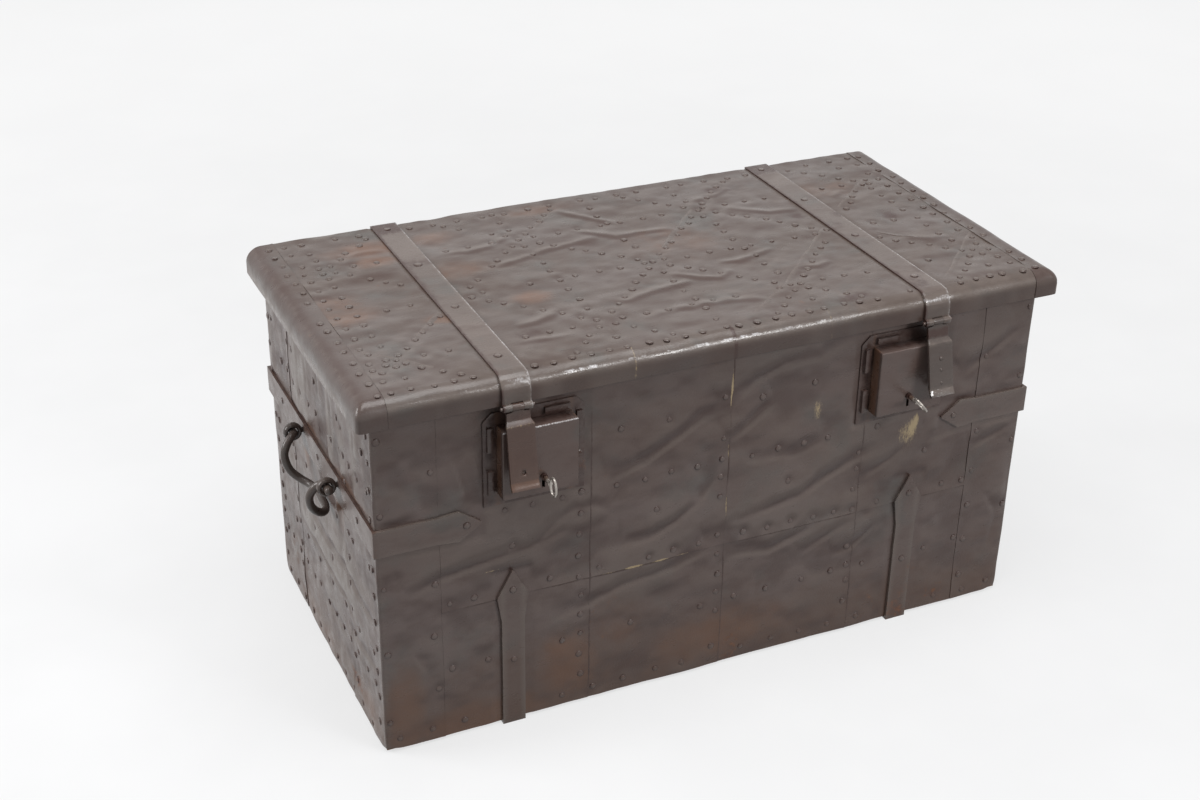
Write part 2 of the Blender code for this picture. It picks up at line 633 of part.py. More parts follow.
def build_lock_plate(side, sign):
    """The back plate, with its cleats, the bolt's guides and the post that the key turns on."""
    x = sign * LOCK_X
    key_x = sign * KEY_X
    half = LOCK_PLATE_WIDTH / 2
    top = LOCK_Z + LOCK_PLATE_HEIGHT / 2
    low = LOCK_Z - LOCK_PLATE_HEIGHT / 2
    cut = LOCK_PLATE_CHAMFER
    outline = [
        (x - half, low), (x + half, low), (x + half, top - cut), (x + half - cut, top),
        (x - half + cut, top), (x - half, top - cut),
    ]
    face = front_y(PLATE_FACE)
    obj = piece(f"lock_plate_{side}", prism("Y", outline, face, front_y(GAP)), LOCK_IRON)
    sunk = front_y(GAP + LOCK_PLATE_THICKNESS / 2)
    cleat_face = front_y(PLATE_FACE + CLEAT_PROUD)
    beside = (LOCK_PLATE_WIDTH + LOCK_CASE_WIDTH) / 4
    for flank in (-1, 1):
        for level in (-1, 1):
            middle = LOCK_Z + level * SIDE_CLEAT_SPACING / 2
            across = (x + flank * beside - CLEAT_WIDTH / 2, x + flank * beside + CLEAT_WIDTH / 2)
            tall = (middle - SIDE_CLEAT_LENGTH / 2, middle + SIDE_CLEAT_LENGTH / 2)
            boolean(obj, "UNION", box(across, (sunk, cleat_face), tall))
    above = LOCK_Z + (LOCK_PLATE_HEIGHT + LOCK_CASE_HEIGHT) / 4
    top_middle = x - sign * TOP_CLEAT_OFFSET
    across = (top_middle - SIDE_CLEAT_LENGTH / 2, top_middle + SIDE_CLEAT_LENGTH / 2)
    tall = (above - CLEAT_WIDTH / 2, above + CLEAT_WIDTH / 2)
    boolean(obj, "UNION", box(across, (sunk, cleat_face), tall))
    guide_face = front_y(BOLT_BACK - GAP)
    for flank in (-1, 1):
        middle = key_x + flank * BOLT_GUIDE_SPACING / 2
        across = (middle - BOLT_GUIDE_WIDTH / 2, middle + BOLT_GUIDE_WIDTH / 2)
        boolean(obj, "UNION", box(across, (sunk, guide_face), (BOLT_LOW, BOLT_HIGH)))
    post = rod("Y", (key_x, KEY_Z), KEY_SHANK_RADIUS, sunk, front_y(BOLT_BACK - GAP))
    boolean(obj, "UNION", post)


def build_lock_case(side, sign, staple_z):
    """The box over the works, open at its back, with a keyhole and the staple's slot."""
    x = sign * LOCK_X
    key_x = sign * KEY_X
    staple_x = sign * STRAP_X
    half = LOCK_CASE_WIDTH / 2
    tall = LOCK_CASE_HEIGHT / 2
    face = front_y(LOCK_CASE_PROUD)
    back = front_y(PLATE_FACE + GAP)
    outside = box((x - half, x + half), (face, back), (LOCK_Z - tall, LOCK_Z + tall))
    obj = piece(f"lock_case_{side}", outside, LOCK_IRON)
    bevel = obj.modifiers.new("Eased edges", "BEVEL")
    bevel.width = LOCK_CASE_BEVEL
    bevel.segments = 1
    half -= LOCK_CASE_WALL
    tall -= LOCK_CASE_WALL
    inside = front_y(LOCK_CASE_PROUD - LOCK_CASE_WALL)
    cavity = box((x - half, x + half), (inside, HASP_Y + LOCK_CASE_PROUD * 2), (LOCK_Z - tall, LOCK_Z + tall))
    boolean(obj, "DIFFERENCE", cavity)
    through = (front_y(LOCK_CASE_PROUD + LOCK_CASE_WALL), front_y(LOCK_CASE_PROUD - LOCK_CASE_WALL * 2))
    hole = KEY_SHANK_RADIUS + KEYHOLE_CLEARANCE
    boolean(obj, "DIFFERENCE", rod("Y", (key_x, KEY_Z), hole, *through))
    slot = KEY_BIT_THICKNESS / 2 + KEYHOLE_CLEARANCE
    slot_end = KEY_Z - KEY_BIT_REACH - KEYHOLE_CLEARANCE
    boolean(obj, "DIFFERENCE", box((key_x - slot, key_x + slot), through, (slot_end, KEY_Z)))
    wide = STAPLE_THICKNESS / 2 + STAPLE_SLOT_CLEARANCE
    opening = (staple_z[0] - STAPLE_BAR, staple_z[1] + STAPLE_SLOT_ABOVE)
    boolean(obj, "DIFFERENCE", box((staple_x - wide, staple_x + wide), through, opening))


def build_lock_bolt(side, sign):
    """The sliding bolt, with the talon that the key's bit turns in, and the leaf spring on it."""
    key_x = sign * KEY_X
    drawn = KEY_REST_DEGREES[side] / KEY_TURN_DEGREES * BOLT_HALF_THROW
    tip = KEY_TO_STAPLE - STAPLE_THICKNESS / 2 - STAPLE_SLOT_CLEARANCE * 2
    lean = BOLT_RISE * math.tan(KEY_TURN) - KEY_BIT_THICKNESS / 2 / math.cos(KEY_TURN)
    talon = BOLT_HALF_THROW - lean + TALON_CLEARANCE
    talon_top = KEY_Z + KEY_BIT_REACH + TALON_CLEARANCE
    steps = [
        (-BOLT_TAIL, BOLT_LOW), (-talon, BOLT_LOW), (-talon, talon_top), (talon, talon_top),
        (talon, BOLT_LOW), (tip, BOLT_LOW), (tip, BOLT_HIGH), (-BOLT_TAIL, BOLT_HIGH),
    ]
    outline = [(key_x + sign * s + drawn, z) for s, z in steps]
    deep = (front_y(BOLT_FACE), front_y(BOLT_BACK))
    pivot = (key_x + drawn, deep[0], BOLT_LOW)
    piece(f"lock_bolt_{side}", prism("Y", outline, *deep), LOCK_IRON, pivot)

    roof = LOCK_Z + LOCK_CASE_HEIGHT / 2 - LOCK_CASE_WALL - GAP
    rest = BOLT_HIGH + GAP + SPRING_THICKNESS
    foot = LOCK_X - LOCK_CASE_WIDTH / 2 + LOCK_CASE_WALL * 2 - KEY_X
    leaf = [
        (foot, roof), (foot + BOLT_TAIL / 2, roof), (-BOLT_RISE / 2, (roof + rest) / 2),
        (0.0, rest), (BOLT_RISE, rest),
    ]
    path = [(key_x + sign * s, z) for s, z in leaf]
    if sign < 0:
        path.reverse()
    middle = (deep[0] + deep[1]) / 2
    halves = [BOLT_THICKNESS / 2] * len(path)
    piece(f"lock_spring_{side}", band("Y", path, halves, SPRING_THICKNESS, middle), BRIGHT)


def build_key(side, sign):
    """The key: a shank with a collar against the case, a bit in the talon, and an oval bow."""
    x = sign * KEY_X
    neck = front_y(LOCK_CASE_PROUD + KEY_SHANK_PROUD)
    inner_end = front_y(BOLT_BACK)
    pivot = (x, front_y(LOCK_CASE_PROUD), KEY_Z)
    shank = rod("Y", (x, KEY_Z), KEY_SHANK_RADIUS, neck - KEY_BOW_WIRE / 2, inner_end)
    obj = piece(f"key_{side}", shank, BRIGHT, pivot)
    collar = front_y(LOCK_CASE_PROUD + GAP)
    boolean(obj, "UNION", rod("Y", (x, KEY_Z), KEY_COLLAR_RADIUS, collar - KEY_COLLAR_LENGTH, collar))
    bit = box(
        (x - KEY_BIT_THICKNESS / 2, x + KEY_BIT_THICKNESS / 2),
        (front_y(BOLT_FACE - GAP), front_y(BOLT_BACK + GAP)),
        (KEY_Z, KEY_Z + KEY_BIT_REACH),
    )
    boolean(obj, "UNION", bit)
    wire = KEY_BOW_WIRE / 2
    bow_y = neck - KEY_BOW_LENGTH / 2
    halves = (KEY_BOW_LENGTH / 2 - wire, KEY_BOW_WIDTH / 2 - wire)
    bow = oval_ring("X", (bow_y, KEY_Z, x), *halves, wire, wire)
    boolean(obj, "UNION", bow)
    obj.rotation_euler.y = math.radians(KEY_REST_DEGREES[side])


def smooth_route(points, steps):
    """Points on a smooth curve through the given ones."""
    route = [Vector(p) for p in points]
    ends = [route[0] * 2 - route[1], *route, route[-1] * 2 - route[-2]]
    found = []
    for a, b, c, d in zip(ends, ends[1:], ends[2:], ends[3:]):
        for i in range(steps):
            t = i / steps
            rise = (c - a) * t
            bend = (a * 2 - b * 5 + c * 4 - d) * t**2
            twist = (b * 3 - a - c * 3 + d) * t**3
            found.append((b * 2 + rise + bend + twist) / 2)
    found.append(route[-1])
    return found


def build_handle(side, sign, carriers):
    """Two eyes driven through the end strap, and the bail whose ends turn in them."""
    x = sign * EYE_X
    eye_y = {
        "front": -HANDLE_FORWARD - EYE_SPACING / 2,
        "back": -HANDLE_FORWARD + EYE_SPACING / 2,
    }
    inside = sign * (HALF_LENGTH - SKIN - BOARD_THICKNESS)
    for place, y in eye_y.items():
        halves = (EYE_RING_RADIUS, EYE_RING_RADIUS)
        ring = oval_ring("Y", (x, EYE_Z, y), *halves, EYE_WIRE / 2, EYE_WIDTH / 2)
        eye = piece(f"handle_eye_{side}_{place}", ring, HANDLE_IRON)
        root = x - sign * EYE_RING_RADIUS
        boolean(eye, "UNION", rod("X", (y, EYE_Z), EYE_SHANK_RADIUS, root, inside))
        hole = EYE_SHANK_RADIUS + SHANK_CLEARANCE
        for carrier in carriers:
            boolean(carrier, "DIFFERENCE", rod("X", (y, EYE_Z), hole, root, inside - sign * BOARD_THICKNESS))

    arm = [(out, down, inward) for out, down, inward in BAIL_ARM]
    middle = (arm[-1][0], BAIL_MIDDLE_DOWN, EYE_SPACING / 2)
    near = [(sign * out, inward - EYE_SPACING / 2, -down) for out, down, inward in (*arm, middle)]
    far = [(px, -py, pz) for px, py, pz in reversed(near[:-1])]
    route = smooth_route(near + far, BAIL_STEPS)
    curve = bpy.data.curves.new(f"bail_{side}", "CURVE")
    curve.dimensions = "3D"
    curve.bevel_depth = BAIL_ROD_RADIUS
    curve.bevel_resolution = 2
    curve.use_fill_caps = True
    spline = curve.splines.new("POLY")
    spline.points.add(len(route) - 1)
    for point, place in zip(spline.points, route):
        point.co = (*place, 1.0)
    piece(f"handle_{side}", curve, HANDLE_IRON, (x, -HANDLE_FORWARD, EYE_Z))


end_boards = build_boards()
end_sheets = build_box_sheets()
build_lid()
build_lid_straps()
build_body_straps()
end_straps = build_end_straps()
staple_heights = build_hasps()
for side_name, side_sign in SIDES:
    build_lock_plate(side_name, side_sign)
    build_lock_case(side_name, side_sign, staple_heights)
    build_lock_bolt(side_name, side_sign)
    build_key(side_name, side_sign)
    through_end = (end_boards[side_name], end_straps[side_name], *end_sheets[side_name])
    build_handle(side_name, side_sign, through_end)
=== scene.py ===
"""Looks of the iron-clad wooden trunk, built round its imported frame, in metres."""
import json
import math

import bmesh
import bpy
import numpy as np
from mathutils import Matrix, Vector, noise

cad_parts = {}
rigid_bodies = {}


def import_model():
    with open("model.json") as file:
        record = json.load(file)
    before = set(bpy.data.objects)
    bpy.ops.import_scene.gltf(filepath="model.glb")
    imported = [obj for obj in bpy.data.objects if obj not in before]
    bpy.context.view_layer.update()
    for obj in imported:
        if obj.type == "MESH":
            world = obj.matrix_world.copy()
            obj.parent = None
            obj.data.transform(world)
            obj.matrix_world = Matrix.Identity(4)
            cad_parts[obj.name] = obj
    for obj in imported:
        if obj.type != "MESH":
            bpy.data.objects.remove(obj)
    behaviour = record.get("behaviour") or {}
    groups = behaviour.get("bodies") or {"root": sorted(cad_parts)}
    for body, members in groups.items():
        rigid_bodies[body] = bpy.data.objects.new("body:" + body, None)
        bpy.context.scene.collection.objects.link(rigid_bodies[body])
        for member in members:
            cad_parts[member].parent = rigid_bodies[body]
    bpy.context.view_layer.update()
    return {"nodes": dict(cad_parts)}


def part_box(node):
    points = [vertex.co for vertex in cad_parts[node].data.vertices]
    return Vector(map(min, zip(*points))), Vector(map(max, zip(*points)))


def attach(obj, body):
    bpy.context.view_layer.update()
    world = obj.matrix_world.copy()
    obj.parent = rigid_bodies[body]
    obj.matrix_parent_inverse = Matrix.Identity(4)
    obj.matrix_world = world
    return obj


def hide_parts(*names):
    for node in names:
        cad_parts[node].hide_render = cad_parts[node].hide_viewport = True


for leftover in list(bpy.data.objects):
    bpy.data.objects.remove(leftover)
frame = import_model()


# The board box
# Softwood boards rebated together and nailed, never painted inside and browned by age.
# Only the rim and the inside show, with the lid up, so the boards keep their solids.
BOX_BOARDS_LONG = ("front_board", "back_board", "bottom_board")
BOX_BOARDS_SHORT = ("left_end_board", "right_end_board")
PLANK_WIDTH = 0.163
PINE_PALE = (0.27, 0.175, 0.100, 1.0)
PINE_DARK = (0.125, 0.073, 0.040, 1.0)
PINE_JOINT = (0.03, 0.018, 0.01, 1.0)


def put(tree, kind, sockets=(), **settings):
    """A shader node with its settings made and its sockets set or linked."""
    made = tree.nodes.new("ShaderNode" + kind)
    for setting, value in settings.items():
        setattr(made, setting, value)
    for socket, value in dict(sockets).items():
        target = made.inputs[socket]
        if isinstance(value, bpy.types.NodeSocket):
            tree.links.new(value, target)
        else:
            target.default_value = value
    return made


def reckon(tree, operation, first, second=0.0):
    """Arithmetic on two values."""
    return put(tree, "Math", {0: first, 1: second}, operation=operation).outputs[0]


def cloudy(tree, place, scale, detail=5.0, roughness=0.6):
    """Soft cloudy variation from 0 to 1, finer as the scale goes up."""
    sockets = {"Vector": place, "Scale": scale, "Detail": detail, "Roughness": roughness}
    return put(tree, "TexNoise", sockets).outputs["Fac"]


def eased(tree, value, low, high, start=0.0, end=1.0):
    """A smooth step: start below low, end above high."""
    sockets = {"Value": value, "From Min": low, "From Max": high, "To Min": start, "To Max": end}
    return put(tree, "MapRange", sockets, interpolation_type="SMOOTHSTEP").outputs["Result"]


def blended(tree, share, first, second):
    """The second colour over the first by its share."""
    return put(tree, "Mix", {0: share, 6: first, 7: second}, data_type="RGBA").outputs[2]


def effect(name, takes, gives):
    """An empty shader node group with its named sockets, and its two ends."""
    tree = bpy.data.node_groups.new(name, "ShaderNodeTree")
    for label, kind, value in takes:
        socket = tree.interface.new_socket(label, in_out="INPUT", socket_type="NodeSocket" + kind)
        socket.default_value = value
    for label, kind in gives:
        tree.interface.new_socket(label, in_out="OUTPUT", socket_type="NodeSocket" + kind)
    return tree, tree.nodes.new("NodeGroupInput").outputs, tree.nodes.new("NodeGroupOutput").inputs


def new_finish(name):
    """A material with its node tree and its shader."""
    material = bpy.data.materials.new(name)
    material.use_nodes = True
    return material, material.node_tree, material.node_tree.nodes["Principled BSDF"]


def dress(nodes, material):
    """Gives carried-over solids their finish."""
    for name in nodes:
        for place in frame["nodes"][name].material_slots:
            place.material = material


def make_pine_grain():
    """Growth rings drawn out along the board, darker streaks and the joints between planks."""
    takes = (("Stretch", "Vector", (1.0, 1.0, 1.0)), ("Across", "Vector", (0.0, 0.0, 1.0)))
    tree, given, result = effect("pine_grain", takes, (("Color", "Color"), ("Height", "Float")))
    place = put(tree, "TexCoord").outputs["Object"]
    drawn = put(tree, "VectorMath", {0: place, 1: given["Stretch"]}, operation="MULTIPLY").outputs[0]
    rings = cloudy(tree, drawn, 5.0, 8.0, 0.65)
    streaks = cloudy(tree, drawn, 30.0, 5.0, 0.6)
    share = reckon(tree, "MULTIPLY_ADD", streaks, 0.5)
    tree.links.new(rings, share.node.inputs[2])
    color = blended(tree, eased(tree, share, 0.55, 0.95), PINE_PALE, PINE_DARK)
    across = put(tree, "VectorMath", {0: place, 1: given["Across"]}, operation="DOT_PRODUCT")
    joint = reckon(tree, "PINGPONG", across.outputs["Value"], PLANK_WIDTH / 2)
    open_joint = eased(tree, joint, 0.0004, 0.0012, 1.0, 0.0)
    tree.links.new(blended(tree, open_joint, color, PINE_JOINT), result["Color"])
    tree.links.new(reckon(tree, "SUBTRACT", share, open_joint), result["Height"])
    return tree


def pine_finish(name, stretch, across):
    """Bare old pine with its grain along one way."""
    material, tree, shader = new_finish(name)
    grain = put(tree, "Group", node_tree=pine_grain)
    grain.inputs["Stretch"].default_value = stretch
    grain.inputs["Across"].default_value = across
    tree.links.new(grain.outputs["Color"], shader.inputs["Base Color"])
    rough = eased(tree, grain.outputs["Height"], 0.4, 1.0, 0.62, 0.78)
    tree.links.new(rough, shader.inputs["Roughness"])
    bump = put(tree, "Bump", {"Strength": 0.35, "Distance": 0.0006, "Height": grain.outputs["Height"]})
    tree.links.new(bump.outputs["Normal"], shader.inputs["Normal"])
    return material


pine_grain = make_pine_grain()
dress(BOX_BOARDS_LONG, pine_finish("pine_along", (0.45, 14.0, 14.0), (0.0, 0.0, 1.0)))
dress(BOX_BOARDS_SHORT, pine_finish("pine_across", (14.0, 0.45, 14.0), (0.0, 0.0, 1.0)))


# Front sheets
# Thin sheet iron in two rows of four, each lapped over the one on its right and below it,
# nailed along the laps, buckled and dented between the nails, and painted dark brown long ago.
front_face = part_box("front_sheet_upper_1")[0].y
foot, lower_top = (corner.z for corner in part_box("front_sheet_lower_1"))
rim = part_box("front_sheet_upper_1")[1].z
SHEET_THICKNESS = 0.0012
SHEET_LOW = -0.0007
SHEET_HIGH = 0.0034
FRONT_GRID = 0.0033
LAP_LIFT = 0.0008
LAP_REACH = 0.006
SEAM_SHADE_REACH = 0.0022
PAINT = (0.099, 0.067, 0.057, 1.0)
PAINT_FADED = (0.131, 0.097, 0.088, 1.0)
PAINT_COOL = (0.080, 0.079, 0.073, 1.0)
# The first colour below darkens dirt and also paints shade, the second is rubbed paint and also painted light, and
# the fourth paints only highlights.
GRIME_AND_SHADE = (0.050, 0.026, 0.021, 1.0)
RUBBED_AND_LIT = (0.150, 0.120, 0.104, 1.0)
BARED = (0.48, 0.37, 0.22, 1.0)
PAINTED_GLINT = (0.60, 0.585, 0.59, 1.0)
STAINED = (0.140, 0.072, 0.044, 1.0)
DAMP = (0.096, 0.055, 0.039, 1.0)
RUST_DARK = (0.085, 0.034, 0.020, 1.0)
RUST_BRIGHT = (0.19, 0.080, 0.036, 1.0)
# how far it stands out, half breadth, then the broken line across the face (x, z)
FRONT_FOLDS = (
    (0.0030, 0.010, ((-0.440, 0.232), (-0.395, 0.248), (-0.322, 0.260), (-0.279, 0.263), (-0.220, 0.280))),
    (0.0026, 0.011, ((-0.263, 0.272), (-0.236, 0.296), (-0.209, 0.307), (-0.188, 0.304), (-0.166, 0.294))),
    (0.0026, 0.010, ((-0.166, 0.339), (-0.113, 0.354), (-0.064, 0.381), (-0.032, 0.400), (0.005, 0.408))),
    (0.0022, 0.010, ((0.011, 0.409), (0.043, 0.439), (0.086, 0.455), (0.140, 0.455), (0.193, 0.474))),
    (0.0024, 0.010, ((0.011, 0.359), (0.037, 0.373), (0.064, 0.393), (0.080, 0.402))),
    (0.0028, 0.010, ((-0.145, 0.232), (-0.102, 0.235), (-0.064, 0.251), (-0.032, 0.272), (-0.005, 0.310))),
    (0.0032, 0.011, ((0.011, 0.229), (0.075, 0.235), (0.129, 0.245), (0.167, 0.267), (0.210, 0.283),
                     (0.247, 0.294), (0.279, 0.310))),
    (0.0030, 0.011, ((-0.252, 0.141), (-0.188, 0.154), (-0.140, 0.170), (-0.064, 0.178), (-0.016, 0.194))),
    (0.0028, 0.011, ((0.011, 0.176), (0.081, 0.168), (0.124, 0.181), (0.166, 0.197), (0.220, 0.203))),
    (0.0024, 0.009, ((0.183, 0.133), (0.220, 0.141), (0.252, 0.168))),
    (0.0022, 0.010, ((0.134, 0.149), (0.188, 0.176), (0.258, 0.192))),
    (0.0013, 0.010, ((0.032, 0.318), (0.075, 0.318), (0.113, 0.313), (0.156, 0.326))),
    (0.0024, 0.009, ((0.225, 0.251), (0.268, 0.272), (0.295, 0.288))),
    (0.0022, 0.010, ((0.376, 0.382), (0.408, 0.404), (0.462, 0.436))),
    (0.0020, 0.010, ((0.322, 0.286), (0.365, 0.294), (0.397, 0.302))),
    (0.0022, 0.010, ((0.403, 0.259), (0.435, 0.270), (0.467, 0.280))),
    (0.0022, 0.010, ((-0.387, 0.278), (-0.354, 0.294), (-0.295, 0.288))),
    (0.0016, 0.012, ((-0.380, 0.420), (-0.365, 0.370), (-0.372, 0.330))),
    (0.0016, 0.012, ((0.430, 0.180), (0.455, 0.140), (0.450, 0.090))),
    (0.0016, 0.012, ((-0.445, 0.150), (-0.425, 0.115), (-0.430, 0.070))),
)
# each row or column of nails: its two ends (x, z) and the spacing
FRONT_NAIL_LINES = (
    ((-0.406, 0.410), (-0.406, 0.085), 0.080),
    ((-0.205, 0.335), (-0.205, 0.050), 0.031),
    ((-0.0016, 0.462), (-0.0016, 0.035), 0.031),
    ((0.2094, 0.302), (0.2094, 0.055), 0.032),
    ((0.408, 0.470), (0.408, 0.045), 0.058),
    ((-0.472, 0.470), (-0.472, 0.050), 0.095),
    ((0.472, 0.470), (0.472, 0.050), 0.095),
    ((-0.350, 0.334), (0.240, 0.334), 0.039),
    ((-0.388, 0.2135), (0.392, 0.2135), 0.035),
    ((-0.388, 0.111), (0.392, 0.111), 0.051),
    ((-0.462, 0.020), (0.462, 0.020), 0.047),
)
FRONT_STRAY_NAILS = ((-0.150, 0.416), (-0.082, 0.415), (-0.096, 0.283), (-0.301, 0.280), (0.055, 0.419),
                     (0.134, 0.424), (0.102, 0.280), (0.322, 0.278))
# places where the paint is gone: middle (x, z), half sizes, how bare
FRONT_BARE = (
    (0.289, 0.313, 0.024, 0.030, 0.56),
    (0.296, 0.318, 0.010, 0.022, 0.74),
    (0.302, 0.329, 0.005, 0.014, 0.95),
    (0.141, 0.381, 0.009, 0.025, 0.56),
    (-0.128, 0.2024, 0.018, 0.0017, 0.92),
    (-0.088, 0.2024, 0.016, 0.0015, 0.85),
    (-0.055, 0.2024, 0.014, 0.0013, 0.72),
    (-0.165, 0.2024, 0.016, 0.0012, 0.60),
    (0.0079, 0.440, 0.0016, 0.034, 0.95),
    (0.0079, 0.347, 0.0014, 0.020, 0.62),
    (0.0079, 0.262, 0.0014, 0.026, 0.70),
    (-0.275, 0.2535, 0.030, 0.0016, 0.75),
    (-0.330, 0.2480, 0.020, 0.0014, 0.60),
)
# rust that shows through as a soft reddish tint: middle, half sizes, strength
FRONT_STAINS = (
    (-0.223, 0.070, 0.045, 0.060, 0.75),
    (-0.340, 0.018, 0.090, 0.030, 0.8),
    (-0.453, 0.060, 0.030, 0.070, 0.7),
    (0.010, 0.056, 0.120, 0.040, 0.6),
    (-0.150, 0.110, 0.060, 0.060, 0.3),
)
# a crease seen across: places in half breadths above its lip, and the share of its height there
CREASE_PLACES = (-4.0, 0.0, 0.45, 2.6, 7.0)
CREASE_SHARES = (0.0, 0.30, -0.20, 0.75, 0.0)
HOLLOW_DEPTH = 0.0006
SWELLING_FOOT = 0.0012
SWELLING_RISE = 0.0016
NAIL_RADIUS = 0.0050
NAIL_RISE = 0.0013
NAIL_SIDES = 9
FRONT_FITTINGS = ("lock_plate_left", "lock_plate_right", "body_strap_left", "body_strap_right",
                  "end_strap_left", "end_strap_right")
nail_luck = np.random.default_rng(11)


def make_old_paint():
    """Paint gone cloudy: faded, grimed and faintly stippled."""
    colors = (("Paint", "Color", PAINT), ("Faded", "Color", PAINT_FADED), ("Grime", "Color", GRIME_AND_SHADE))
    gives = (("Color", "Color"), ("Roughness", "Float"), ("Height", "Float"))
    tree, given, result = effect("old_paint", colors, gives)
    place = put(tree, "TexCoord").outputs["Object"]
    drawn = put(tree, "VectorMath", {0: place, 1: (0.45, 1.0, 1.0)}, operation="MULTIPLY").outputs[0]
    broad = cloudy(tree, drawn, 7.0)
    mottled = cloudy(tree, drawn, 46.0, 6.0)
    specks = cloudy(tree, place, 330.0, 3.0)
    color = blended(tree, eased(tree, broad, 0.35, 0.68), given["Paint"], given["Faded"])
    chilled = cloudy(tree, place, 13.0, 4.0)
    color = blended(tree, eased(tree, chilled, 0.50, 0.74, 0.0, 0.55), color, PAINT_COOL)
    dirt = eased(tree, mottled, 0.48, 0.76, 0.0, 0.40)
    color = blended(tree, dirt, color, given["Grime"])
    color = blended(tree, eased(tree, specks, 0.58, 0.74, 0.0, 0.4), color, given["Faded"])
    tree.links.new(color, result["Color"])
    tree.links.new(eased(tree, mottled, 0.3, 0.7, 0.26, 0.42), result["Roughness"])
    tree.links.new(reckon(tree, "MULTIPLY_ADD", specks, 0.5), result["Height"])
    tree.links.new(mottled, result["Height"].links[0].from_node.inputs[2])
    return tree


def make_rust_bloom():
    """Rust in blooms that come through thin paint, brighter in their middles."""
    takes = (("Amount", "Float", 0.1), ("Scale", "Float", 9.0))
    tree, given, result = effect("rust_bloom", takes, (("Mask", "Float"), ("Color", "Color")))
    place = put(tree, "TexCoord").outputs["Object"]
    blooms = cloudy(tree, place, given["Scale"], 7.0, 0.68)
    crumbs = cloudy(tree, place, 160.0, 4.0)
    reach = reckon(tree, "ADD", reckon(tree, "MULTIPLY", crumbs, 0.16), reckon(tree, "ADD", blooms, given["Amount"]))
    tree.links.new(eased(tree, reach, 0.76, 0.90), result["Mask"])
    tree.links.new(blended(tree, eased(tree, crumbs, 0.42, 0.66), RUST_DARK, RUST_BRIGHT), result["Color"])
    return tree


def make_wear_and_painted_light():
    """Where a piece is rubbed, grimy, bare or stained, and where shade, light and highlights are painted on it, as
    marked on its mesh; all but the painted shade and light are ragged at the edges.
    """
    words = ("Rubbed", "GrimyAndShaded", "Bared", "Bright", "Stained", "PaintedShade", "PaintedLight")
    gives = tuple((word, "Float") for word in words)
    tree, _, result = effect("wear_and_painted_light", (), gives)
    place = put(tree, "TexCoord").outputs["Object"]
    ragged = cloudy(tree, place, 95.0, 6.0, 0.7)
    drawn = put(tree, "VectorMath", {0: place, 1: (1.0, 1.0, 0.35)}, operation="MULTIPLY").outputs[0]
    scratched = cloudy(tree, drawn, 430.0, 5.0, 0.8)
    soft = cloudy(tree, place, 30.0, 5.0, 0.6)
    for mark, give, break_up, low, high, most in (
        ("rub", "Rubbed", ragged, 0.55, 1.15, 0.8),
        ("grime_and_shade", "GrimyAndShaded", ragged, 0.55, 1.10, 1.0),
        ("bare", "Bared", scratched, 0.88, 1.26, 0.95),
        ("painted_glint", "Bright", scratched, 0.85, 1.25, 0.95),
        ("stain", "Stained", soft, 0.45, 1.35, 0.8),
    ):
        marked = put(tree, "Attribute", attribute_name=mark).outputs["Fac"]
        shown = eased(tree, reckon(tree, "ADD", marked, break_up), low, high, 0.0, most)
        present = eased(tree, marked, 0.0, 0.35)
        tree.links.new(reckon(tree, "MULTIPLY", shown, present), result[give])
    for mark, give in (("painted_shade", "PaintedShade"), ("painted_light", "PaintedLight")):
        tree.links.new(put(tree, "Attribute", attribute_name=mark).outputs["Fac"], result[give])
    return tree


def make_damp_foot():
    """A reddish tint towards the ground, where a trunk stands on damp floors."""
    tree, _, result = effect("damp_foot", (), (("Mask", "Float"),))
    place = put(tree, "TexCoord").outputs["Object"]
    height = put(tree, "SeparateXYZ", {0: place}).outputs["Z"]
    wandering = reckon(tree, "MULTIPLY_ADD", cloudy(tree, place, 14.0, 5.0), -0.20)
    tree.links.new(height, wandering.node.inputs[2])
    tree.links.new(eased(tree, wandering, -0.10, 0.06, 0.85, 0.0), result["Mask"])
    return tree


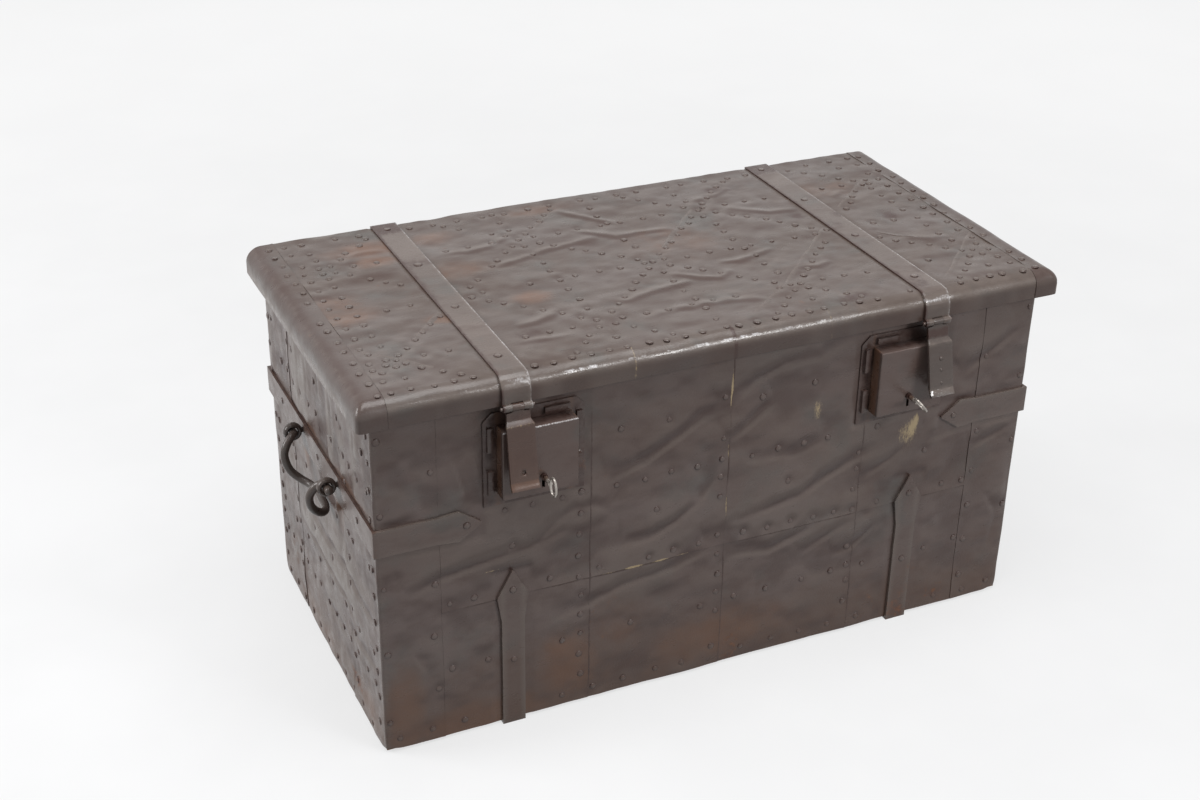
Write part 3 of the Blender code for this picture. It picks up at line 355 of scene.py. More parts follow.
def iron_finish(name, paint, faded, rust, damp=False, sheen=0.0, bump=0.40, metal=0.0):
    """Painted sheet or forged iron: old paint, rust, the wear marked on the mesh, and the shade, light and highlights
    painted where the mesh marks them.
    """
    material, tree, shader = new_finish(name)
    coat = put(tree, "Group", {}, node_tree=old_paint)
    coat.inputs["Paint"].default_value = paint
    coat.inputs["Faded"].default_value = faded
    bloom = put(tree, "Group", {}, node_tree=rust_bloom)
    bloom.inputs["Amount"].default_value = rust
    wear_and_light = put(tree, "Group", {}, node_tree=wear_and_painted_light)
    color = coat.outputs["Color"]
    if damp:
        wet = put(tree, "Group", {}, node_tree=damp_foot).outputs["Mask"]
        color = blended(tree, wet, color, DAMP)
        rusting = reckon(tree, "ADD", reckon(tree, "MULTIPLY", wet, 0.09), rust)
        tree.links.new(rusting, bloom.inputs["Amount"])
    # Painted shade, painted light and painted highlights go into the colour here, along with grime, stains, rust and
    # wear.
    color = blended(tree, wear_and_light.outputs["PaintedShade"], color, GRIME_AND_SHADE)
    color = blended(tree, wear_and_light.outputs["PaintedLight"], color, RUBBED_AND_LIT)
    color = blended(tree, wear_and_light.outputs["Stained"], color, STAINED)
    color = blended(tree, bloom.outputs["Mask"], color, bloom.outputs["Color"])
    color = blended(tree, wear_and_light.outputs["GrimyAndShaded"], color, GRIME_AND_SHADE)
    color = blended(tree, wear_and_light.outputs["Rubbed"], color, RUBBED_AND_LIT)
    color = blended(tree, wear_and_light.outputs["Bared"], color, BARED)
    color = blended(tree, wear_and_light.outputs["Bright"], color, PAINTED_GLINT)
    tree.links.new(color, shader.inputs["Base Color"])
    rough = reckon(tree, "MULTIPLY_ADD", bloom.outputs["Mask"], 0.28)
    tree.links.new(coat.outputs["Roughness"], rough.node.inputs[2])
    rough = reckon(tree, "SUBTRACT", rough, reckon(tree, "MULTIPLY", wear_and_light.outputs["Rubbed"], 0.17))
    rough = reckon(tree, "SUBTRACT", rough, sheen)
    tree.links.new(rough, shader.inputs["Roughness"])
    height = reckon(tree, "MULTIPLY_ADD", bloom.outputs["Mask"], 0.5)
    tree.links.new(coat.outputs["Height"], height.node.inputs[2])
    shader.inputs["Metallic"].default_value = metal
    shader.inputs["Specular IOR Level"].default_value = 0.42
    relief = put(tree, "Bump", {"Strength": bump, "Distance": 0.0007, "Height": height})
    tree.links.new(relief.outputs["Normal"], shader.inputs["Normal"])
    return material


def soft_noise(u, v, size_u, size_v, seed):
    """Smooth waver from -1 to 1 over a face, between seeded heights on a lattice."""
    knots = 97
    heights = np.random.default_rng(seed).uniform(-1.0, 1.0, (knots, knots))
    across = u / size_u + knots / 2
    along = v / size_v + knots / 2
    i = np.floor(across).astype(int)
    j = np.floor(along).astype(int)
    s = across - i
    t = along - j
    s = s * s * (3 - 2 * s)
    t = t * t * (3 - 2 * t)
    near = heights[i % knots, j % knots] * (1 - s) + heights[(i + 1) % knots, j % knots] * s
    far = heights[i % knots, (j + 1) % knots] * (1 - s) + heights[(i + 1) % knots, (j + 1) % knots] * s
    return near * (1 - t) + far * t


def crease_shape(off):
    """A bulge that turns in under itself to a sharp little lip; off is in half breadths above the lip."""
    share = np.zeros_like(off)
    ends = zip(CREASE_PLACES, CREASE_PLACES[1:], CREASE_SHARES, CREASE_SHARES[1:])
    for low, high, start, end in ends:
        along = np.clip((off - low) / (high - low), 0.0, 1.0)
        share += (end - start) * along * along * (3 - 2 * along)
    return share


def fold_height(u, v, folds, creased=False):
    """How far a sheet stands out along its buckles: soft ridges, or creases under a bulge."""
    stands = np.zeros_like(u)
    for height, breadth, line in folds:
        nearest = np.full_like(u, 9.0)
        along = np.zeros_like(u)
        above = np.zeros(u.shape, bool)
        walked = 0.0
        onward = 1.0 if line[-1][0] >= line[0][0] else -1.0
        for (u0, v0), (u1, v1) in zip(line, line[1:]):
            length = math.hypot(u1 - u0, v1 - v0)
            way_u = (u1 - u0) / length
            way_v = (v1 - v0) / length
            on = np.clip((u - u0) * way_u + (v - v0) * way_v, 0.0, length)
            off_u = u - u0 - on * way_u
            off_v = v - v0 - on * way_v
            gap = np.hypot(off_u, off_v)
            closer = gap < nearest
            nearest = np.where(closer, gap, nearest)
            along = np.where(closer, walked + on, along)
            above = np.where(closer, (way_u * off_v - way_v * off_u) * onward > 0, above)
            walked += length
        fade = np.sin(np.pi * np.clip(along / walked, 0.0, 1.0)) ** 0.6
        off = np.where(above, nearest, -nearest) / breadth
        across = crease_shape(off) if creased else np.exp(-((off / np.where(off > 0, 1.15, 0.75)) ** 2))
        stands += height * fade * across
    return stands


def slope_shading(relief, u, v, painted_shade, painted_light, reach=0.004, steepest=0.16):
    """Painted shade on the slopes that face down the sheet, and painted light on those that face up it."""
    lean = (relief(u, v + reach) - relief(u, v - reach)) / (2 * reach)
    return {
        "painted_shade": np.clip(lean / steepest, 0.0, 1.0) * painted_shade,
        "painted_light": np.clip(-lean / steepest, 0.0, 1.0) * painted_light,
    }


def hollow_shading(heights, marks, painted_shade, painted_light):
    """Adds painted shade in the hollows of a sheet and painted light on its swellings."""
    hollow = np.clip(-heights / HOLLOW_DEPTH, 0.0, 1.0) * painted_shade
    swelling = np.clip((heights - SWELLING_FOOT) / SWELLING_RISE, 0.0, 1.0) * painted_light
    marks["painted_shade"] = np.maximum(marks["painted_shade"], hollow)
    marks["painted_light"] = np.maximum(marks["painted_light"], swelling)
    return marks


def held_down(u, v, nails, reach=0.009):
    """0 at a nail, rising to 1 where the sheet is free."""
    free = np.ones_like(u)
    for nail_u, nail_v in nails:
        free *= 1.0 - 0.65 * np.exp(-((u - nail_u) ** 2 + (v - nail_v) ** 2) / reach**2)
    return free


def pressed(u, v, patches, margin=0.010):
    """0 under a fitting, rising to 1 clear of it."""
    free = np.ones_like(u)
    for (u0, u1), (v0, v1) in patches:
        off_u = np.maximum(np.maximum(u0 - u, u - u1), 0.0)
        off_v = np.maximum(np.maximum(v0 - v, v - v1), 0.0)
        gap = np.clip(np.hypot(off_u, off_v) / margin, 0.0, 1.0)
        free *= gap * gap * (3 - 2 * gap)
    return free


def footprints(nodes, axis, level, outward):
    """The patches of a face that fittings cover, each as its two spans on the face."""
    patches = []
    for name in nodes:
        beyond = [v.co for v in frame["nodes"][name].data.vertices if (v.co[axis] - level) * outward > 0.0005]
        if beyond:
            spans = [(min(c[a] for c in beyond), max(c[a] for c in beyond)) for a in range(3) if a != axis]
            patches.append(tuple(spans))
    return patches


def nail_places(lines, strays, patches):
    """Nails along each line, a little out of true and now and then missing, clear of the fittings."""
    places = []
    for start, end, spacing in lines:
        start = np.array(start)
        way = np.array(end) - start
        count = max(1, round(math.hypot(*way) / spacing))
        for step in range(count + 1):
            spot = start + way * step / count + nail_luck.normal(0.0, 0.0015, 2)
            if nail_luck.random() > 0.05:
                places.append(tuple(spot))
    places += strays
    clear = []
    for u, v in places:
        under = any(
            u0 - NAIL_RADIUS < u < u1 + NAIL_RADIUS and v0 - NAIL_RADIUS < v < v1 + NAIL_RADIUS
            for (u0, u1), (v0, v1) in patches
        )
        crowded = any((u - a) ** 2 + (v - b) ** 2 < (NAIL_RADIUS * 2.4) ** 2 for a, b in clear)
        if not under and not crowded:
            clear.append((u, v))
    return clear


def steps(low, high, spacing, edges=True):
    """Even grid steps, with one more close to each end for the bent edge."""
    count = max(2, round((high - low) / spacing))
    even = np.linspace(low, high, count + 1)
    if not edges:
        return even
    return np.concatenate((even[:1], even[:1] + spacing * 0.25, even[1:-1], even[-1:] - spacing * 0.25, even[-1:]))


def sheet_mesh(name, points, normals, heights, marks, whole_back=False):
    """A closed thin sheet: its dented outer face as a grid, its cut edges and its inner face."""
    rows, columns = heights.shape
    outer = points + normals * heights[..., None]
    inner = points - normals * SHEET_THICKNESS
    verts = [tuple(p) for p in outer.reshape(-1, 3)]
    spots = [(r, c) for r in range(rows) for c in range(columns)]
    top = {spot: index for index, spot in enumerate(spots)}
    border = [(0, c) for c in range(columns - 1)]
    border += [(r, columns - 1) for r in range(rows - 1)]
    border += [(rows - 1, c) for c in range(columns - 1, 0, -1)]
    border += [(r, 0) for r in range(rows - 1, 0, -1)]
    below = {}
    for spot in spots if whole_back else border:
        below[spot] = len(verts)
        verts.append(tuple(inner[spot]))
    cells = [(r, c) for r in range(rows - 1) for c in range(columns - 1)]
    faces = [(top[r, c], top[r, c + 1], top[r + 1, c + 1], top[r + 1, c]) for r, c in cells]
    faces += [
        (top[b], top[a], below[a], below[b]) for a, b in zip(border, border[1:] + border[:1])
    ]
    last = columns - 1
    if whole_back:
        faces += [(below[r + 1, c], below[r + 1, c + 1], below[r, c + 1], below[r, c]) for r, c in cells]
    else:
        faces.append([below[0, c] for c in range(columns)] + [below[1, last], below[1, 0]])
        faces += [
            (below[r, 0], below[r, last], below[r + 1, last], below[r + 1, 0]) for r in range(1, rows - 2)
        ]
        faces.append([below[rows - 1, c] for c in range(columns)] + [below[rows - 2, last], below[rows - 2, 0]])
    mesh = bpy.data.meshes.new(name)
    mesh.from_pydata(verts, [], faces)
    for mark, values in marks.items():
        layer = mesh.attributes.new(mark, "FLOAT", "POINT")
        spread = [*values.reshape(-1), *(values[spot] for spot in below)]
        layer.data.foreach_set("value", np.array(spread, dtype=np.float32))
    work = bmesh.new()
    work.from_mesh(mesh)
    bmesh.ops.remove_doubles(work, verts=work.verts, dist=1e-6)
    bmesh.ops.dissolve_degenerate(work, edges=work.edges, dist=1e-7)
    bmesh.ops.recalc_face_normals(work, faces=work.faces)
    work.to_mesh(mesh)
    work.free()
    mesh.shade_smooth()
    mesh.set_sharp_from_angle(angle=math.radians(48))
    return mesh


def place_piece(name, mesh, material, body, nodes=()):
    """Puts a finished mesh in the scene, riding on its body and standing for its solids."""
    piece = bpy.data.objects.new(name, mesh)
    bpy.context.scene.collection.objects.link(piece)
    mesh.materials.clear()
    mesh.materials.append(material)
    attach(piece, body)
    if nodes:
        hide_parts(*nodes)
    return piece


def nail_heads(name, spots, material, body, radius=NAIL_RADIUS, height=NAIL_RISE, dirt=1.0):
    """Domed nail heads as one mesh; each spot is a point on the sheet and the way out of it."""
    verts = []
    faces = []
    profile = ((1.0, -0.30), (0.94, 0.35), (0.62, 0.80), (0.25, 0.98))
    # Each head's crown is lightened as a painted highlight; its foot is darkened with grime.
    ring_marks = {"grime_and_shade": (dirt, 0.7 * dirt, 0.1 * dirt, 0.0), "painted_light": (0.0, 0.0, 0.0, 0.30)}
    for point, outward in spots:
        size = nail_luck.uniform(0.82, 1.12)
        out = Vector(outward) + Vector(nail_luck.normal(0.0, 0.06, 3))
        out.normalize()
        first = out.orthogonal().normalized()
        second = out.cross(first)
        start = len(verts)
        for share, rise in profile:
            for side in range(NAIL_SIDES):
                turn = math.tau * side / NAIL_SIDES
                ring = (first * math.cos(turn) + second * math.sin(turn)) * share * radius * size
                verts.append(Vector(point) + ring + out * rise * height * size)
        for level in range(len(profile) - 1):
            low = start + level * NAIL_SIDES
            for side in range(NAIL_SIDES):
                after = (side + 1) % NAIL_SIDES
                faces.append((low + side, low + after, low + NAIL_SIDES + after, low + NAIL_SIDES + side))
        faces.append([start + side for side in reversed(range(NAIL_SIDES))])
        crown = start + (len(profile) - 1) * NAIL_SIDES
        faces.append([crown + side for side in range(NAIL_SIDES)])
    mesh = bpy.data.meshes.new(name)
    mesh.from_pydata(verts, [], faces)
    for mark, values in ring_marks.items():
        layer = mesh.attributes.new(mark, "FLOAT", "POINT")
        layer.data.foreach_set("value", np.tile(np.repeat(np.float32(values), NAIL_SIDES), len(spots)))
    mesh.shade_smooth()
    return place_piece(name, mesh, material, body)


def bare_marks(u, v, places):
    """How bare the iron is round each worn place."""
    bare = np.zeros_like(u)
    for middle_u, middle_v, half_u, half_v, most in places:
        gap = np.hypot((u - middle_u) / half_u, (v - middle_v) / half_v)
        bare = np.maximum(bare, most * np.clip(1.35 - gap, 0.0, 1.0))
    return bare


front_patches = footprints(FRONT_FITTINGS, 1, front_face, -1)
front_nails = nail_places(FRONT_NAIL_LINES, FRONT_STRAY_NAILS, front_patches)


def front_height(x, z):
    """The front cladding's relief, the same across every sheet."""
    dents = 0.0016 * soft_noise(x, z, 0.085, 0.055, 3) + 0.0010 * soft_noise(x, z, 0.036, 0.026, 4)
    dents += 0.0003 * soft_noise(x, z, 0.014, 0.012, 5)
    free = held_down(x, z, front_nails) * pressed(x, z, front_patches)
    return (0.0006 + dents + 1.5 * fold_height(x, z, FRONT_FOLDS, True)) * free


def front_marks(x, z):
    """Rubbed crests, grime round the nails and bare patches, with painted shade on down-facing slopes and in hollows
    and painted light on up-facing slopes and swellings.
    """
    crest = np.clip(fold_height(x, z, FRONT_FOLDS) / 0.003, 0.0, 1.0) ** 3
    near_nail = 1.0 - held_down(x, z, front_nails, 0.008)
    marks = {
        "rub": crest * 0.10,
        "grime_and_shade": near_nail * 0.45,
        "bare": bare_marks(x, z, FRONT_BARE),
        "stain": bare_marks(x, z, FRONT_STAINS),
        **slope_shading(front_height, x, z, 1.0, 0.45),
    }
    return hollow_shading(settled(front_height(x, z)), marks, 0.55, 0.45)


def settled(heights):
    """Relief kept gently between how far a sheet can sink and how far it can stand out."""
    return np.where(heights > 0, SHEET_HIGH * np.tanh(heights / SHEET_HIGH), SHEET_LOW * np.tanh(heights / SHEET_LOW))


def lap_lift(gap, along, seed):
    """A lapped edge stands off what it covers, more in some places than in others."""
    gaping = 1.0 + 0.8 * soft_noise(along, along * 0.0, 0.045, 1.0, seed)
    return LAP_LIFT * gaping * np.exp(-np.maximum(gap, 0.0) / LAP_REACH)


old_paint = make_old_paint()
rust_bloom = make_rust_bloom()
wear_and_painted_light = make_wear_and_painted_light()
damp_foot = make_damp_foot()
box_iron = iron_finish("box_iron", PAINT, PAINT_FADED, 0.02, True, 0.0, 0.75)

for row, level in (("lower", 1), ("upper", 2)):
    for column in range(1, 5):
        node = f"front_sheet_{row}_{column}"
        low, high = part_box(node)
        x, z = np.meshgrid(steps(low.x, high.x, FRONT_GRID), steps(low.z, high.z, FRONT_GRID))
        points = np.stack((x, np.full_like(x, front_face), z), axis=-1)
        normals = np.zeros_like(points)
        normals[..., 1] = -1.0
        marks = front_marks(x, z)
        heights = front_height(x, z)
        if column < 4:
            heights += lap_lift(high.x - x, z, 20 + column + 10 * level)
        if row == "upper":
            heights += lap_lift(z - low.z, x, 60 + column)
        # Painted shadow: a darker band along the edges of a sheet that its neighbours lap over.
        beside_seam = low.x - x if column > 1 else np.full_like(x, 1.0)
        below_seam = high.z - z if row == "lower" else np.full_like(x, 1.0)
        in_shade = np.exp(-((np.minimum(np.abs(beside_seam), below_seam) / SEAM_SHADE_REACH) ** 2))
        in_shade *= 0.40 + 0.25 * soft_noise(x, z, 0.030, 0.030, 15)
        marks["grime_and_shade"] = np.maximum(marks["grime_and_shade"], in_shade)
        heights = settled(heights)
        mesh = sheet_mesh(node + "_dented", points, normals, heights, marks)
        place_piece(node + "_dented", mesh, box_iron, "chest", (node,))
nail_u = np.array([u for u, _ in front_nails])
nail_v = np.array([v for _, v in front_nails])
nail_h = settled(front_height(nail_u, nail_v))
front_spots = [((u, front_face - h, v), (0.0, -1.0, 0.0)) for u, v, h in zip(nail_u, nail_v, nail_h)]
nail_heads("front_nails", front_spots, box_iron, "chest")


# Back sheets
# Four more sheets of the same iron stand upright across the back, lapped and nailed alike.
# Nothing rubs them against a wall, so they are only softly dented.
back_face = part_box("back_sheet_1")[1].y
BACK_GRID = 0.006
BACK_FITTINGS = ("body_strap_left", "body_strap_right", "end_strap_left", "end_strap_right")
BACK_NAIL_LINES = (
    ((-0.407, 0.465), (-0.407, 0.045), 0.060),
    ((-0.207, 0.470), (-0.207, 0.040), 0.040),
    ((-0.008, 0.470), (-0.008, 0.040), 0.040),
    ((0.191, 0.470), (0.191, 0.040), 0.040),
    ((0.407, 0.465), (0.407, 0.045), 0.060),
    ((-0.388, 0.330), (0.388, 0.330), 0.048),
    ((-0.388, 0.170), (0.388, 0.170), 0.048),
    ((-0.465, 0.020), (0.465, 0.020), 0.050),
    ((-0.465, 0.482), (0.465, 0.482), 0.050),
)
BACK_FOLDS = (
    (0.0022, 0.012, ((-0.38, 0.24), (-0.30, 0.26), (-0.22, 0.25))),
    (0.0022, 0.012, ((-0.17, 0.40), (-0.10, 0.38), (-0.03, 0.41))),
    (0.0024, 0.012, ((0.02, 0.12), (0.10, 0.14), (0.18, 0.11))),
    (0.0022, 0.012, ((0.21, 0.28), (0.28, 0.26), (0.37, 0.29))),
)
back_patches = footprints(BACK_FITTINGS, 1, back_face, 1)
back_nails = nail_places(BACK_NAIL_LINES, (), back_patches)


def back_height(x, z):
    """The back cladding's relief."""
    dents = 0.0011 * soft_noise(x, z, 0.090, 0.070, 33) + 0.0005 * soft_noise(x, z, 0.036, 0.030, 34)
    free = held_down(x, z, back_nails) * pressed(x, z, back_patches)
    return (0.0003 + dents + fold_height(x, z, BACK_FOLDS)) * free


for column in range(1, 5):
    node = f"back_sheet_{column}"
    low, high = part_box(node)
    x, z = np.meshgrid(steps(low.x, high.x, BACK_GRID), steps(low.z, high.z, BACK_GRID))
    points = np.stack((x, np.full_like(x, back_face), z), axis=-1)
    normals = np.zeros_like(points)
    normals[..., 1] = 1.0
    heights = back_height(x, z)
    marks = {"grime_and_shade": (1.0 - held_down(x, z, back_nails, 0.008)) * 0.3}
    if column < 4:
        heights += lap_lift(high.x - x, z, 130 + column)
    heights = settled(heights)
    mesh = sheet_mesh(node + "_dented", points, normals, heights, marks)
    place_piece(node + "_dented", mesh, box_iron, "chest", (node,))
nail_u = np.array([u for u, _ in back_nails])
nail_v = np.array([v for _, v in back_nails])
nail_h = settled(back_height(nail_u, nail_v))
back_spots = [((u, back_face + h, v), (0.0, 1.0, 0.0)) for u, v, h in zip(nail_u, nail_v, nail_h)]
nail_heads("back_nails", back_spots, box_iron, "chest")


# End sheets
# One sheet stands between the corner sheets on each end, buckled in upright folds under the
# strap and in long slanting ones below it, and nailed in rows and columns.
left_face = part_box("end_sheet_left")[0].x
right_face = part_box("end_sheet_right")[1].x
END_GRID = 0.0036
END_NAIL_RADIUS = 0.0052
END_NAIL_RISE = 0.0017
END_FITTINGS = ("end_strap_left", "end_strap_right", "handle_eye_left_front", "handle_eye_left_back",
                "handle_eye_right_front", "handle_eye_right_back")
# (y, z) on the end
END_FOLDS = (
    (0.0026, 0.005, ((0.120, 0.462), (0.122, 0.410), (0.119, 0.352))),
    (0.0024, 0.005, ((0.095, 0.460), (0.092, 0.410), (0.096, 0.356))),
    (0.0022, 0.005, ((0.022, 0.460), (0.017, 0.430), (0.011, 0.404))),
    (0.0022, 0.005, ((-0.140, 0.456), (-0.143, 0.436), (-0.142, 0.416))),
    (0.0018, 0.005, ((0.060, 0.455), (0.055, 0.420), (0.061, 0.385))),
    (0.0018, 0.005, ((-0.040, 0.460), (-0.046, 0.420), (-0.041, 0.380))),
    (0.0034, 0.008, ((0.084, 0.203), (0.011, 0.198), (-0.073, 0.203), (-0.129, 0.191), (-0.196, 0.186))),
    (0.0034, 0.008, ((0.134, 0.161), (0.067, 0.158), (-0.003, 0.154), (-0.073, 0.151), (-0.109, 0.133))),
    (0.0024, 0.010, ((-0.073, 0.110), (-0.143, 0.113), (-0.199, 0.116))),
    (0.0022, 0.010, ((0.053, 0.082), (-0.017, 0.085), (-0.059, 0.082))),
    (0.0020, 0.010, ((0.215, 0.240), (0.190, 0.215), (0.165, 0.205))),
)
END_NAIL_LINES = (
    ((0.247, 0.470), (0.247, 0.040), 0.040),
    ((0.155, 0.470), (0.155, 0.040), 0.036),
    ((-0.093, 0.470), (-0.093, 0.040), 0.038),
    ((-0.191, 0.470), (-0.191, 0.040), 0.040),
    ((0.230, 0.435), (-0.170, 0.435), 0.095),
    ((0.235, 0.387), (-0.180, 0.387), 0.036),
    ((0.235, 0.272), (-0.180, 0.272), 0.070),
    ((0.235, 0.188), (-0.180, 0.188), 0.080),
    ((0.235, 0.141), (-0.180, 0.141), 0.060),
    ((0.235, 0.093), (-0.180, 0.093), 0.036),
    ((0.235, 0.016), (-0.195, 0.016), 0.040),
)
# where the bail's grip lies, which has worn the sheet flat
GRIP_REST = ((-0.040, 0.062), (0.262, 0.292))
END_STAINS = (
    (-0.064, 0.300, 0.016, 0.040, 0.9),
    (0.086, 0.304, 0.014, 0.030, 0.7),
    (-0.110, 0.352, 0.070, 0.008, 0.6),
    (0.060, 0.352, 0.060, 0.006, 0.5),
    (-0.150, 0.030, 0.060, 0.030, 0.5),
    (0.080, 0.020, 0.120, 0.024, 0.4),
)
end_patches = {
    -1: footprints(END_FITTINGS, 0, left_face, -1),
    1: footprints(END_FITTINGS, 0, right_face, 1),
}
end_nails = {side: nail_places(END_NAIL_LINES, (), end_patches[side]) for side in (-1, 1)}
end_face = {-1: left_face, 1: right_face}


def end_height(y, z, side):
    """An end's relief: upright waves near the top, slanting ones lower down."""
    seed = 50 + 10 * side
    upright = soft_noise(y, z, 0.026, 0.15, seed) * np.clip((z - 0.20) / 0.15, 0.25, 1.0)
    slanting = soft_noise(y + z * 0.6, z, 0.13, 0.040, seed + 1) * np.clip((0.40 - z) / 0.15, 0.25, 1.0)
    dents = 0.0032 * upright + 0.0016 * slanting + 0.0006 * soft_noise(y, z, 0.020, 0.018, seed + 2)
    free = held_down(y, z, end_nails[side]) * pressed(y, z, [*end_patches[side], GRIP_REST])
    return (0.0008 + dents + 1.6 * fold_height(y, z, END_FOLDS, True)) * free


def end_marks(y, z, side):
    """Rubbed crests, grime round the nails and rust below the eyes and the strap of an end, with painted shade on
    down-facing slopes and in hollows and painted light on up-facing slopes and swellings.
    """
    crest = np.clip(fold_height(y, z, END_FOLDS) / 0.003, 0.0, 1.0) ** 3
    near_nail = 1.0 - held_down(y, z, end_nails[side], 0.008)
    slopes = slope_shading(lambda u, v: end_height(u, v, side), y, z, 1.0, 0.8)
    marks = {"rub": crest * 0.2, "grime_and_shade": near_nail * 0.35, "stain": bare_marks(y, z, END_STAINS), **slopes}
    return hollow_shading(settled(end_height(y, z, side)), marks, 1.0, 1.0)


for side, word in ((-1, "left"), (1, "right")):
    node = f"end_sheet_{word}"
    low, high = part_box(node)
    y, z = np.meshgrid(steps(low.y, high.y, END_GRID), steps(low.z, high.z, END_GRID))
    points = np.stack((np.full_like(y, end_face[side]), y, z), axis=-1)
    normals = np.zeros_like(points)
    normals[..., 0] = side
    heights = settled(end_height(y, z, side))
    mesh = sheet_mesh(node + "_dented", points, normals, heights, end_marks(y, z, side))
    place_piece(node + "_dented", mesh, box_iron, "chest", (node,))
    nail_u = np.array([u for u, _ in end_nails[side]])
    nail_v = np.array([v for _, v in end_nails[side]])
    nail_h = settled(end_height(nail_u, nail_v, side))
    spots = [
        ((end_face[side] + side * h, u, v), (side, 0.0, 0.0)) for u, v, h in zip(nail_u, nail_v, nail_h)
    ]
    nail_heads(f"end_nails_{word}", spots, box_iron, "chest", END_NAIL_RADIUS, END_NAIL_RISE)


# Corner sheets
# A sheet bent round each upright corner covers the edges of its neighbours on both faces.
# Its free edges stand off a little, and its foot is knocked round.
CORNER_BEND = 0.0035
CORNER_FOOT_WEAR = 0.0024


def corner_path(face_end, end_seam, bend_x, bend_y, spacing):
    """Steps along a corner sheet from its edge on a long face, round the corner, to its edge on the end."""
    flat_long = abs(face_end - bend_x) - CORNER_BEND
    bend = CORNER_BEND * math.pi / 2
    flat_short = abs(end_seam - bend_y) - CORNER_BEND
    on_long = steps(0.0, flat_long, spacing)
    on_bend = np.linspace(flat_long, flat_long + bend, 6)[1:]
    on_short = steps(flat_long + bend, flat_long + bend + flat_short, spacing)[1:]
    return np.concatenate((on_long, on_bend, on_short)), flat_long, bend


for depth_word, face, outward, relief, face_marks in (
    ("front", front_face, -1, front_height, front_marks),
    ("back", back_face, 1, back_height, None),
):
    for side, word in ((-1, "left"), (1, "right")):
        node = f"corner_sheet_{depth_word}_{word}"
        low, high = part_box(node)
        seam_x = high.x if side < 0 else low.x
        seam_y = high.y if outward < 0 else low.y
        path, flat_long, bend = corner_path(seam_x, seam_y, end_face[side], face, FRONT_GRID)
        s, z = np.meshgrid(path, steps(low.z, high.z, END_GRID), indexing="ij")
        turn = np.clip((s - flat_long) / CORNER_BEND, 0.0, math.pi / 2)
        past = np.maximum(s - flat_long - bend, 0.0)
        x = seam_x + side * (np.minimum(s, flat_long) + CORNER_BEND * np.sin(turn))
        y = face - outward * (CORNER_BEND * (1 - np.cos(turn)) + past)
        knocked = np.exp(-(((s - flat_long) / 0.012) ** 2) - (z - low.z) / 0.010)
        points = np.stack((x, y, z + CORNER_FOOT_WEAR * knocked), axis=-1)
        normals = np.stack((side * np.sin(turn), outward * np.cos(turn), np.zeros_like(z)), axis=-1)
        at_bend = np.exp(-((np.maximum(np.abs(s - flat_long - bend / 2) - bend / 2, 0.0) / 0.008) ** 2))
        on_end = s > flat_long + bend / 2
        heights = np.where(on_end, end_height(y, z, side), relief(x, z)) * (1 - at_bend)
        heights += at_bend * (0.0002 + 0.0006 * soft_noise(z, s * 0.0, 0.030, 1.0, 210 + side))
        edge_gap = np.minimum(s, s.max() - s)
        lift = lap_lift(edge_gap, z, 220 + side + 3 * outward)
        heights = settled(heights + lift)
        heights -= 0.0012 * knocked
        marks = end_marks(y, z, side)
        if face_marks:
            on_face = face_marks(x, z)
            marks = {mark: np.where(on_end, marks.get(mark, 0.0), values) for mark, values in on_face.items()}
        marks["rub"] = np.maximum(marks["rub"], at_bend * 0.25)
        mesh = sheet_mesh(node + "_bent", points, normals, heights, marks)
        place_piece(node + "_bent", mesh, box_iron, "chest", (node,))


# Body straps and end straps
# Forged flat iron: the body straps run up the front to a point, under the box and up the back
# to the hinges; the end straps wrap each end. All are held by a few broad-headed nails.
STRAP_PAINT = (0.102, 0.070, 0.060, 1.0)
STRAP_FADED = (0.130, 0.096, 0.084, 1.0)
STRAP_EASE = 0.0009
STRAP_NAIL_HEIGHTS = (0.104, 0.214)


def forged_copy(node, name, ease, waver, spacing, material, body, seed=0.0, marks=None):
    """A fitting's solid with eased edges, the slight waver of hand forging, and the marks of its wear and of its
    painted light and shade.
    """
    work = bmesh.new()
    work.from_mesh(frame["nodes"][node].data)
    bmesh.ops.remove_doubles(work, verts=work.verts, dist=1e-5)
    bmesh.ops.dissolve_limit(work, angle_limit=math.radians(1.0), verts=work.verts, edges=work.edges)
    low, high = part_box(node)
    for axis in range(3):
        way = Vector((axis == 0, axis == 1, axis == 2))
        count = int((high[axis] - low[axis]) / spacing)
        for cut in range(1, count + 1):
            spot = low + way * (high[axis] - low[axis]) * cut / (count + 1)
            everything = [*work.verts, *work.edges, *work.faces]
            bmesh.ops.bisect_plane(work, geom=everything, plane_co=spot, plane_no=way)
    for vert in work.verts:
        sway = noise.noise_vector(vert.co * 34.0 + Vector((seed, 0.0, 0.0)))
        sway += noise.noise_vector(vert.co * 95.0 + Vector((0.0, seed, 0.0))) * 0.5
        moved = vert.co + sway * waver
        vert.co = Vector(max(l + ease * 0.2, min(h - ease * 0.2, c)) for l, h, c in zip(low, high, moved))
    mesh = bpy.data.meshes.new(name)
    work.to_mesh(mesh)
    work.free()
    if marks:
        spots = np.array([tuple(vert.co) for vert in mesh.vertices])
        for mark, values in marks(*spots.T).items():
            layer = mesh.attributes.new(mark, "FLOAT", "POINT")
            layer.data.foreach_set("value", values.astype(np.float32))
    mesh.shade_smooth()
    piece = place_piece(name, mesh, material, body, (node,))
    edges = piece.modifiers.new("eased_edges", "BEVEL")
    edges.width = ease
    edges.segments = 2
    edges.limit_method = "ANGLE"
    edges.angle_limit = math.radians(35)
    edges.harden_normals = False
    mesh.set_sharp_from_angle(angle=math.radians(60))
    return piece


